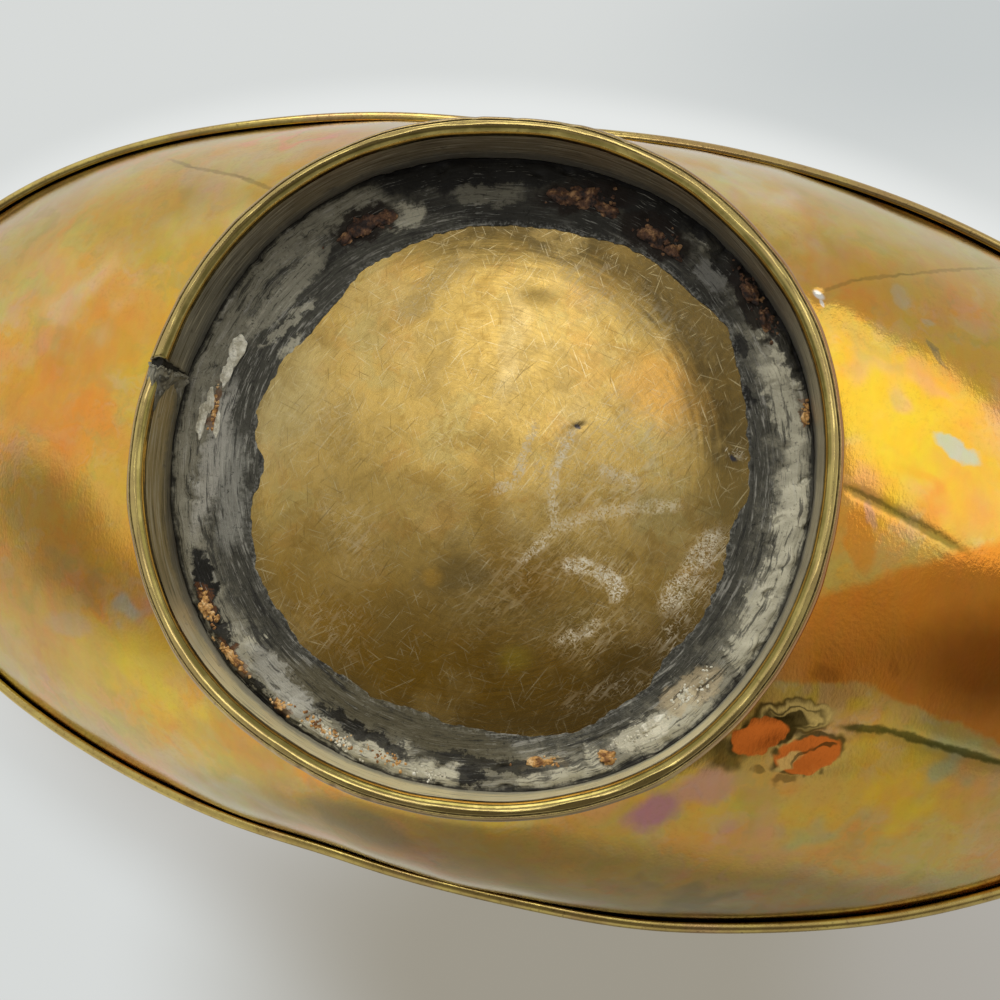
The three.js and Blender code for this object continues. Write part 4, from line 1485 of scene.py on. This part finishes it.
SLATE = (0.059, 0.056, 0.042)
GREY = (0.24, 0.222, 0.158)
PALE_GREY = (0.50, 0.465, 0.335)
CREAM = (0.72, 0.67, 0.50)
RUST = (0.16, 0.060, 0.018)
SOOT_AND_SHADE = (0.005, 0.0045, 0.004)
BURNT = (0.012, 0.0075, 0.0045)
TAN = (0.48, 0.38, 0.22)
DARK_SOLDER_AND_SHADE = (0.017, 0.016, 0.0125)
SMEAR_PALE = (0.42, 0.40, 0.33)
SMEAR_DARK = (0.020, 0.019, 0.016)
BRISTLE = (0.42, 0.40, 0.34)
SCRAPED = (0.46, 0.445, 0.38)
FRINGE = (0.40, 0.39, 0.34)
SOLDER_PATCHES = [
    # Dark solder and soot near the wall on the -Y side, with painted shade from the wall over them
    (0, -54, 38, 7.5, 0, 0.4, 0.80, DARK_SOLDER_AND_SHADE),
    (33, -44, 14, 4.0, 38, 0.4, 0.70, DARK_SOLDER_AND_SHADE),
    (-36, -36, 12, 4.5, -45, 0.5, 0.50, SLATE),
    (-11, -57, 26, 3.6, -11, 0.5, 0.85, SOOT_AND_SHADE),
    (20.5, -56, 13, 4.0, 17, 0.5, 0.85, SOOT_AND_SHADE),
    (-38, -37, 8, 1.7, -56, 0.5, 0.60, SOOT_AND_SHADE),
    (-45.7, -27, 12, 2.4, -59, 0.4, 0.40, PALE_GREY),
    (-53.0, 8, 15, 2.4, 90, 0.5, 0.75, (0.44, 0.42, 0.35)),
    (-48, 14, 12, 2.8, 80, 0.6, 0.60, (0.33, 0.32, 0.265)),
    (-42, -16.4, 2.8, 1.3, -56, 0.5, 0.70, PALE_GREY),
    (-44, -21, 7.0, 1.0, -56, 0.4, 0.50, PALE_GREY),
    (-25.7, -46, 5, 2.9, -24, 0.4, 0.60, PALE_GREY),
    (-9, -53, 7, 2.2, -8, 0.4, 0.45, GREY),
    (36, -43.5, 4.0, 2.0, 40, 0.4, 0.50, (0.22, 0.215, 0.19)),
    (53.2, -21.0, 9.0, 2.3, 60, 0.4, 0.65, PALE_GREY),
    # Soot with painted shade by the wall
    (39.0, -46.5, 13, 2.6, 45, 0.4, 0.92, SOOT_AND_SHADE),
    (52.5, -31.5, 9, 2.0, 58, 0.4, 0.90, SOOT_AND_SHADE),
    (58, 0, 14.6, 2.5, 85, 0.5, 0.60, PALE_GREY),
    (56.5, 17, 9, 2.8, 108, 0.5, 0.65, PALE_GREY),
    (46, 34, 6.3, 2.8, 129, 0.4, 0.65, TAN),
    (38.5, 43.5, 5.4, 1.8, 143, 0.4, 0.60, CREAM),
    (22.7, 52, 4.4, 1.1, -17, 0.4, 0.70, TAN),
    (2.5, 58.5, 3.6, 1.6, -5, 0.4, 0.80, PALE_GREY),
    (9.5, 57.6, 2.8, 2.0, -12, 0.4, 0.92, SOOT_AND_SHADE),
    (-8, 49.5, 27, 4.2, 8, 0.6, 0.80, (0.105, 0.090, 0.050)),
    (12, 54.5, 12, 1.3, -4, 0.4, 0.75, SOOT_AND_SHADE),
    (-6.7, 57.5, 6.8, 2.6, 12, 0.4, 0.55, PALE_GREY),
    (-12, 54, 11, 1.2, 14, 0.4, 0.88, SOOT_AND_SHADE),
    (-29, 48.6, 10.5, 2.5, 36, 0.4, 0.75, (0.40, 0.385, 0.32)),
    (-41.5, 42.5, 4.7, 2.9, 41, 0.4, 0.60, GREY),
    (-49.3, 31.3, 6.0, 1.9, 61, 0.4, 0.95, SOOT_AND_SHADE),
    (-44.5, 40.0, 9.0, 1.6, 48, 0.4, 0.92, SOOT_AND_SHADE),
    (-33.0, 51.0, 7.0, 1.0, 33, 0.4, 0.90, SOOT_AND_SHADE),
    (46.3, -21.3, 2.6, 1.6, 61, 0.3, 0.80, SOOT_AND_SHADE),
    (44.2, -30.6, 1.9, 1.5, 32, 0.3, 0.80, SOOT_AND_SHADE),
    (-32.5, -43.4, 7.4, 3.4, -34, 0.4, 0.92, BURNT),
    (9.8, -55, 9.5, 3.4, -8, 0.4, 0.92, BURNT),
    (24.5, -49.2, 8.0, 3.8, 22, 0.4, 0.92, BURNT),
    (44.5, -39.5, 8.5, 2.6, 52, 0.4, 0.92, BURNT),
    (57.6, -20, 2.6, 0.9, 81, 0.4, 0.60, RUST),
    (-47.2, 36.6, 3.9, 1.2, 56, 0.3, 0.60, RUST),
    (-39.6, 45.4, 4.7, 1.2, 34, 0.3, 0.60, RUST),
    (-28.4, 52.5, 2.6, 1.1, 26, 0.3, 0.60, RUST),
    (-55, -1.3, 4.8, 1.0, -95, 0.3, 0.65, RUST),
]
# Crumbs: dark, middle and pale colour, strength of the soot and of the painted shade in hollows
RUST_LOOK = ((0.020, 0.010, 0.006), (0.10, 0.042, 0.016), (0.34, 0.18, 0.07), 0.7)
AMBER_LOOK = ((0.20, 0.085, 0.022), (0.58, 0.31, 0.09), (0.76, 0.52, 0.25), 0.4)
CREAM_LOOK = ((0.46, 0.42, 0.30), (0.66, 0.62, 0.48), (0.80, 0.77, 0.64), 0.30)


def solder_material():
    """Old grey solder, slate at its inner edge, with pale runs where the mesh marks cover."""
    material, g = new_material("solder")
    point = g.point()
    inward = g.attribute("inward")
    brushed = g.noise(g.polar(point, 9.0, 3.2, 2.0), 1.0, 4, 0.7)
    mottle = g.noise(point, 0.30, 5, 0.72)
    smear = g.noise(g.polar(point, 5.0, 1.1, 0.6), 1.0, 5, 0.72)
    ragged = mottle * 0.6 + brushed * 0.4 - 0.5
    colour = g.stain(GREY, SLATE, inward + ragged * 22.0, 3.0, 9.5)
    cover = g.attribute("cover")
    pale = g.span(cover + ragged * 3.2, 0.26, 0.42) * g.span(cover, 0.0, 0.1)
    colour = g.mix(pale * 0.80, colour, PALE_GREY)
    colour = g.stain(colour, SMEAR_PALE, smear, 0.55, 0.63, 0.50)
    colour = g.mix(g.span(brushed, 0.57, 0.66) * g.span(smear, 0.40, 0.60, 0.1, 0.5), colour, BRISTLE)
    torn = g.warp(g.warp(point, 0.35, 6.5), 1.3, 1.6)
    crisp = [(*shape, 0.5 * soft, strength, tint) for *shape, soft, strength, tint in SOLDER_PATCHES]
    colour = tinted(g, colour, torn, crisp)
    colour = g.stain(colour, SMEAR_DARK, smear, 0.455, 0.38, 0.75)
    colour = solder_soot_and_shade(g, point, inward, brushed, mottle, ragged, colour)
    rough = g.span(mottle, 0.3, 0.7, 0.36, 0.55)
    normal = g.bump(brushed * 0.5 + mottle * 0.9, 0.0003)
    g.surface(Base_Color=colour, Metallic=0.35, Roughness=rough, Specular_IOR_Level=0.2, Normal=normal)
    return material


def solder_soot_and_shade(g, point, inward, brushed, mottle, ragged, colour):
    """Scrapes, a pale fringe at the solder's edge, soot in its grain, and painted shade with soot in its
    hollows and in the crevice by the wall.
    """
    scrape = g.noise(g.polar(point, 12.0, 5.5, 2.0), 1.0, 3, 0.6)
    colour = g.mix(g.span(scrape, 0.60, 0.66) * g.span(mottle, 0.45, 0.58, 0.02, 0.40), colour, SCRAPED)
    colour = g.stain(colour, SOOT_AND_SHADE, brushed, 0.45, 0.30, 0.55)
    grain = g.noise(point, 1.3, 4, 0.75)
    colour = g.stain(colour, SOOT_AND_SHADE, grain, 0.56, 0.70, 0.70)
    fringe = g.span(g.attribute("from_edge"), 1.6, 0.1) * g.span(grain, 0.50, 0.42, 0.0, 0.3)
    colour = g.mix(fringe, colour, FRINGE)
    # Painted shade with soot in the crevice by the wall
    colour = g.stain(colour, SOOT_AND_SHADE, inward + ragged * 5.0, 1.3, 0.2, 0.9)
    # Painted shade with soot in the hollows, from the mesh's pointiness
    return g.mix(g.span(g.geometry("Pointiness"), 0.49, 0.43) * 0.8, colour, SOOT_AND_SHADE)


def crumb_material(name, dark, middle, pale, dirt):
    material, g = new_material(name)
    point = g.point()
    lot = g.noise(point, 0.55, 4, 0.6)
    grain = g.noise(point, 2.0, 4, 0.7)
    colour = g.stain(dark, middle, lot, 0.38, 0.52)
    colour = g.stain(colour, pale, lot, 0.52, 0.66)
    colour = g.stain(colour, SOOT_AND_SHADE, grain, 0.48, 0.66, dirt)
    # Painted shade with soot in the crumbs' hollows, from the mesh's pointiness
    colour = g.mix(g.span(g.geometry("Pointiness"), 0.49, 0.40) * dirt, colour, SOOT_AND_SHADE)
    rough = g.span(grain, 0.3, 0.7, 0.6, 0.85)
    g.surface(Base_Color=colour, Roughness=rough, Normal=g.bump(grain, 0.0002))
    return material


# Stage, light and camera

EYE = Vector((32.4, 23.43, -174.77))
PICTURE_RIGHT = Vector((0.9729, -0.1946, 0.1248))
PICTURE_DOWN = Vector((0.1804, 0.9767, 0.1164))
SENSOR = 36.0
LENS = 36.0
NEAREST = 0.005
FLOOR_HALF = 4.0
FLOOR_DROP = 0.0004
FLOOR_PALE = (0.80, 0.805, 0.80)
FLOOR_SHADE = 0.97
# Soft areas of the surroundings: azimuth, elevation, inner and outer reach in degrees, colour
WORLD_ROOM = (0.52, 0.52, 0.52)
WORLD_TABLE = (0.66, 0.66, 0.66)
WORLD_BACKGROUND = (0.80, 0.81, 0.81)
WORLD_PATCHES = [
    (192, 28, 15, 48, (0.76, 0.76, 0.76)),
    (160, 24, 6, 20, (0.32, 0.32, 0.32)),
    (125, -5, 10, 28, (0.70, 0.70, 0.70)),
    (80, -30, 14, 44, (0.25, 0.25, 0.25)),
    (45, 10, 15, 36, (0.45, 0.45, 0.45)),
    (10, 42, 10, 26, (0.36, 0.36, 0.36)),
    (25, 22, 6, 20, (0.28, 0.28, 0.28)),
    (113, 82, 8, 16, (0.07, 0.06, 0.05)),
    (70, 62, 12, 32, (0.14, 0.13, 0.12)),
]
# Painted shadows of the bowl and a painted light band by its rim on the pale backdrop seen from straight
# below: slopes along X and Y, then as for the stains
BACKDROP = (0.68, 0.70, 0.69)
BACKDROP_LIGHT_AND_SHADOW = [
    (0.24, -0.64, 0.26, 0.12, -10, 0.80, 0.90, (0.56, 0.59, 0.59)),
    (-0.141, -0.102, 0.755, 0.425, 0, 0.06, 1.00, (0.79, 0.81, 0.80)),
    (0.00, 0.00, 0.75, 0.40, 0, 0.14, 0.90, (0.49, 0.48, 0.45)),
    (0.06, 0.33, 0.36, 0.20, -13, 0.50, 1.00, (0.335, 0.310, 0.255)),
    (0.38, 0.25, 0.15, 0.20, 0, 0.60, 0.70, (0.42, 0.40, 0.365)),
]


def heading(azimuth, elevation):
    """Unit direction towards the underside's surroundings; elevation counts towards -Z."""
    a, e = math.radians(azimuth), math.radians(elevation)
    return Vector((math.cos(e) * math.cos(a), math.cos(e) * math.sin(a), -math.sin(e)))


def make_camera():
    data = bpy.data.cameras.new("camera")
    data.sensor_width = SENSOR
    data.lens = LENS
    data.clip_start = NEAREST
    camera = bpy.data.objects.new("camera", data)
    look = PICTURE_RIGHT.cross(PICTURE_DOWN)
    matrix = Matrix.Identity(4)
    for column, axis in enumerate((PICTURE_RIGHT, -PICTURE_DOWN, -look, EYE * MM)):
        for row in range(3):
            matrix[row][column] = axis[row]
    camera.matrix_world = matrix
    bpy.context.scene.collection.objects.link(camera)
    bpy.context.scene.camera = camera


def floor_material():
    """A pale matt surface seen from above only, that fades out far from the object."""
    material, g = new_material("floor_matt")
    point = g.out("ShaderNodeTexCoord", output="Object")
    shade = tuple(FLOOR_SHADE * part for part in FLOOR_PALE)
    colour = g.stain(FLOOR_PALE, shade, g.noise(point, 3.0, 3, 0.5), 0.3, 0.7)
    matt = g.out("ShaderNodeBsdfDiffuse", {"Color": colour})
    clear = g.out("ShaderNodeBsdfTransparent")
    hidden = g.most(g.geometry("Backfacing"), g.span(g.vector("LENGTH", point), 0.4, 1.3))
    g.end("Material", g.out("ShaderNodeMixShader", {0: hidden, 1: matt, 2: clear}))
    return material


def make_floor():
    """The floor is seen but lights nothing, so the lamps below it still reach the underside."""
    mesh = bpy.data.meshes.new("floor")
    corners = [(x * FLOOR_HALF, y * FLOOR_HALF, 0) for x, y in ((-1, -1), (1, -1), (1, 1), (-1, 1))]
    mesh.from_pydata(corners, [], [[0, 1, 2, 3]])
    mesh.materials.append(floor_material())
    floor = bpy.data.objects.new("floor", mesh)
    floor.location = (0, 0, -FLOOR_DROP)
    bpy.context.scene.collection.objects.link(floor)
    floor.visible_diffuse = False
    floor.visible_glossy = False
    floor.visible_transmission = False
    floor.visible_volume_scatter = False
    floor.visible_shadow = False


def make_lamp(name, direction, distance, size, power, mirrored=True):
    data = bpy.data.lights.new(name, "AREA")
    data.shape = "DISK"
    data.size = size
    data.energy = power
    lamp = bpy.data.objects.new(name, data)
    lamp.location = direction * distance
    lamp.rotation_mode = "QUATERNION"
    lamp.rotation_quaternion = (-direction).to_track_quat("-Z", "Y")
    lamp.visible_glossy = mirrored
    bpy.context.scene.collection.objects.link(lamp)


def make_world():
    """A plain room with soft areas, and a pale backdrop with painted shadows that the camera sees and the
    metal mirrors.
    """
    world = bpy.data.worlds.new("studio")
    world.use_nodes = True
    g = Graph(world.node_tree)
    toward = g.out("ShaderNodeTexCoord", output="Generated")
    height = g.part(toward, 2)
    colour = g.stain(WORLD_ROOM, WORLD_TABLE, height, -0.15, 0.35)
    for azimuth, elevation, inner, outer, tint in WORLD_PATCHES:
        share = within(g, toward, tuple(heading(azimuth, elevation)), inner, outer)
        colour = g.mix(share, colour, tint)
    slopes = g.scaled(toward, g.math("DIVIDE", 1.0, height))
    # Painted shadow and light on the backdrop
    backdrop = tinted(g, BACKDROP, slopes, BACKDROP_LIGHT_AND_SHADOW)
    pale = g.stain(WORLD_BACKGROUND, backdrop, height, 0.55, 0.68)
    camera, glossy, passed = (g.ray(kind) for kind in ("Camera", "Glossy", "Transmission"))
    seen = g.most(camera, g.most(glossy, passed) * g.span(height, 0.80, 0.92))
    colour = g.mix(seen, colour, pale)
    g.end("World", g.out("ShaderNodeBackground", {"Color": colour, "Strength": 1.0}))
    bpy.context.scene.world = world


def make_stage():
    make_floor()
    make_lamp("window", heading(-34, 40), 1.0, 0.72, 0.85)
    make_lamp("side", heading(-112, 40), 0.55, 0.55, 1.7, mirrored=False)
    make_lamp("overhead", heading(-115, 71.5), 0.9, 0.25, 0.28)
    make_lamp("edge", heading(-112, 25), 0.55, 0.30, 0.5)
    make_lamp("above", Vector((-0.35, -0.55, 0.76)), 1.1, 1.1, 4.0, mirrored=False)
    make_world()


def settle(piece, slot, *nodes):
    """Fixes a piece to the body and hides the CAD nodes that it stands for. Its slot is not used."""
    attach(piece, BODY)
    if nodes:
        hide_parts(*nodes)


def main():
    make_camera()
    make_stage()
    inside = plain_brass("inside_brass", 0.13, 0.22)
    bowl = make_bowl([flank_material(), base_material(), rim_material("rim_brass"), inside])
    settle(bowl, "polished_brass", "bowl_shell")
    wire = rim_material("wire_brass")
    settle(make_rim_wire([wire]), "wire_brass", "rim_wire")
    foot = make_foot([wall_material(), bead_material(), plain_brass("foot_outside_brass", 0.20, 0.34)])
    settle(foot, "foot_brass", "foot_band")
    solder = solder_material()
    settle(make_old_solder([solder]), "dark_solder", "old_solder")
    settle(make_pad([solder]), "dark_solder", "seam_solder")
    for number in range(len(SOLDER_RUNS)):
        settle(make_run(number, [solder]), "pale_solder", f"solder_run_{number + 1:02d}")
    rust = crumb_material("rust", *RUST_LOOK)
    amber = crumb_material("amber", *AMBER_LOOK)
    cream = crumb_material("cream", *CREAM_LOOK)
    settle(make_crumbs("rust_crumbs", RUST_CRUMBS, RUST_LUMPS, 81, 1.2, [rust]), "dark_solder")
    settle(make_crumbs("amber_crumbs", AMBER_CRUMBS, AMBER_LUMPS, 82, 1.2, [amber]), "dark_solder")
    settle(make_crumbs("cream_crumbs", CREAM_CRUMBS, CREAM_LUMPS, 83, 1.0, [cream]), "pale_solder")
    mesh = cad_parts["foot_wire"].data
    mesh.materials.clear()
    mesh.materials.append(wire)


main()
bpy.context.scene.view_settings.view_transform = "Standard"
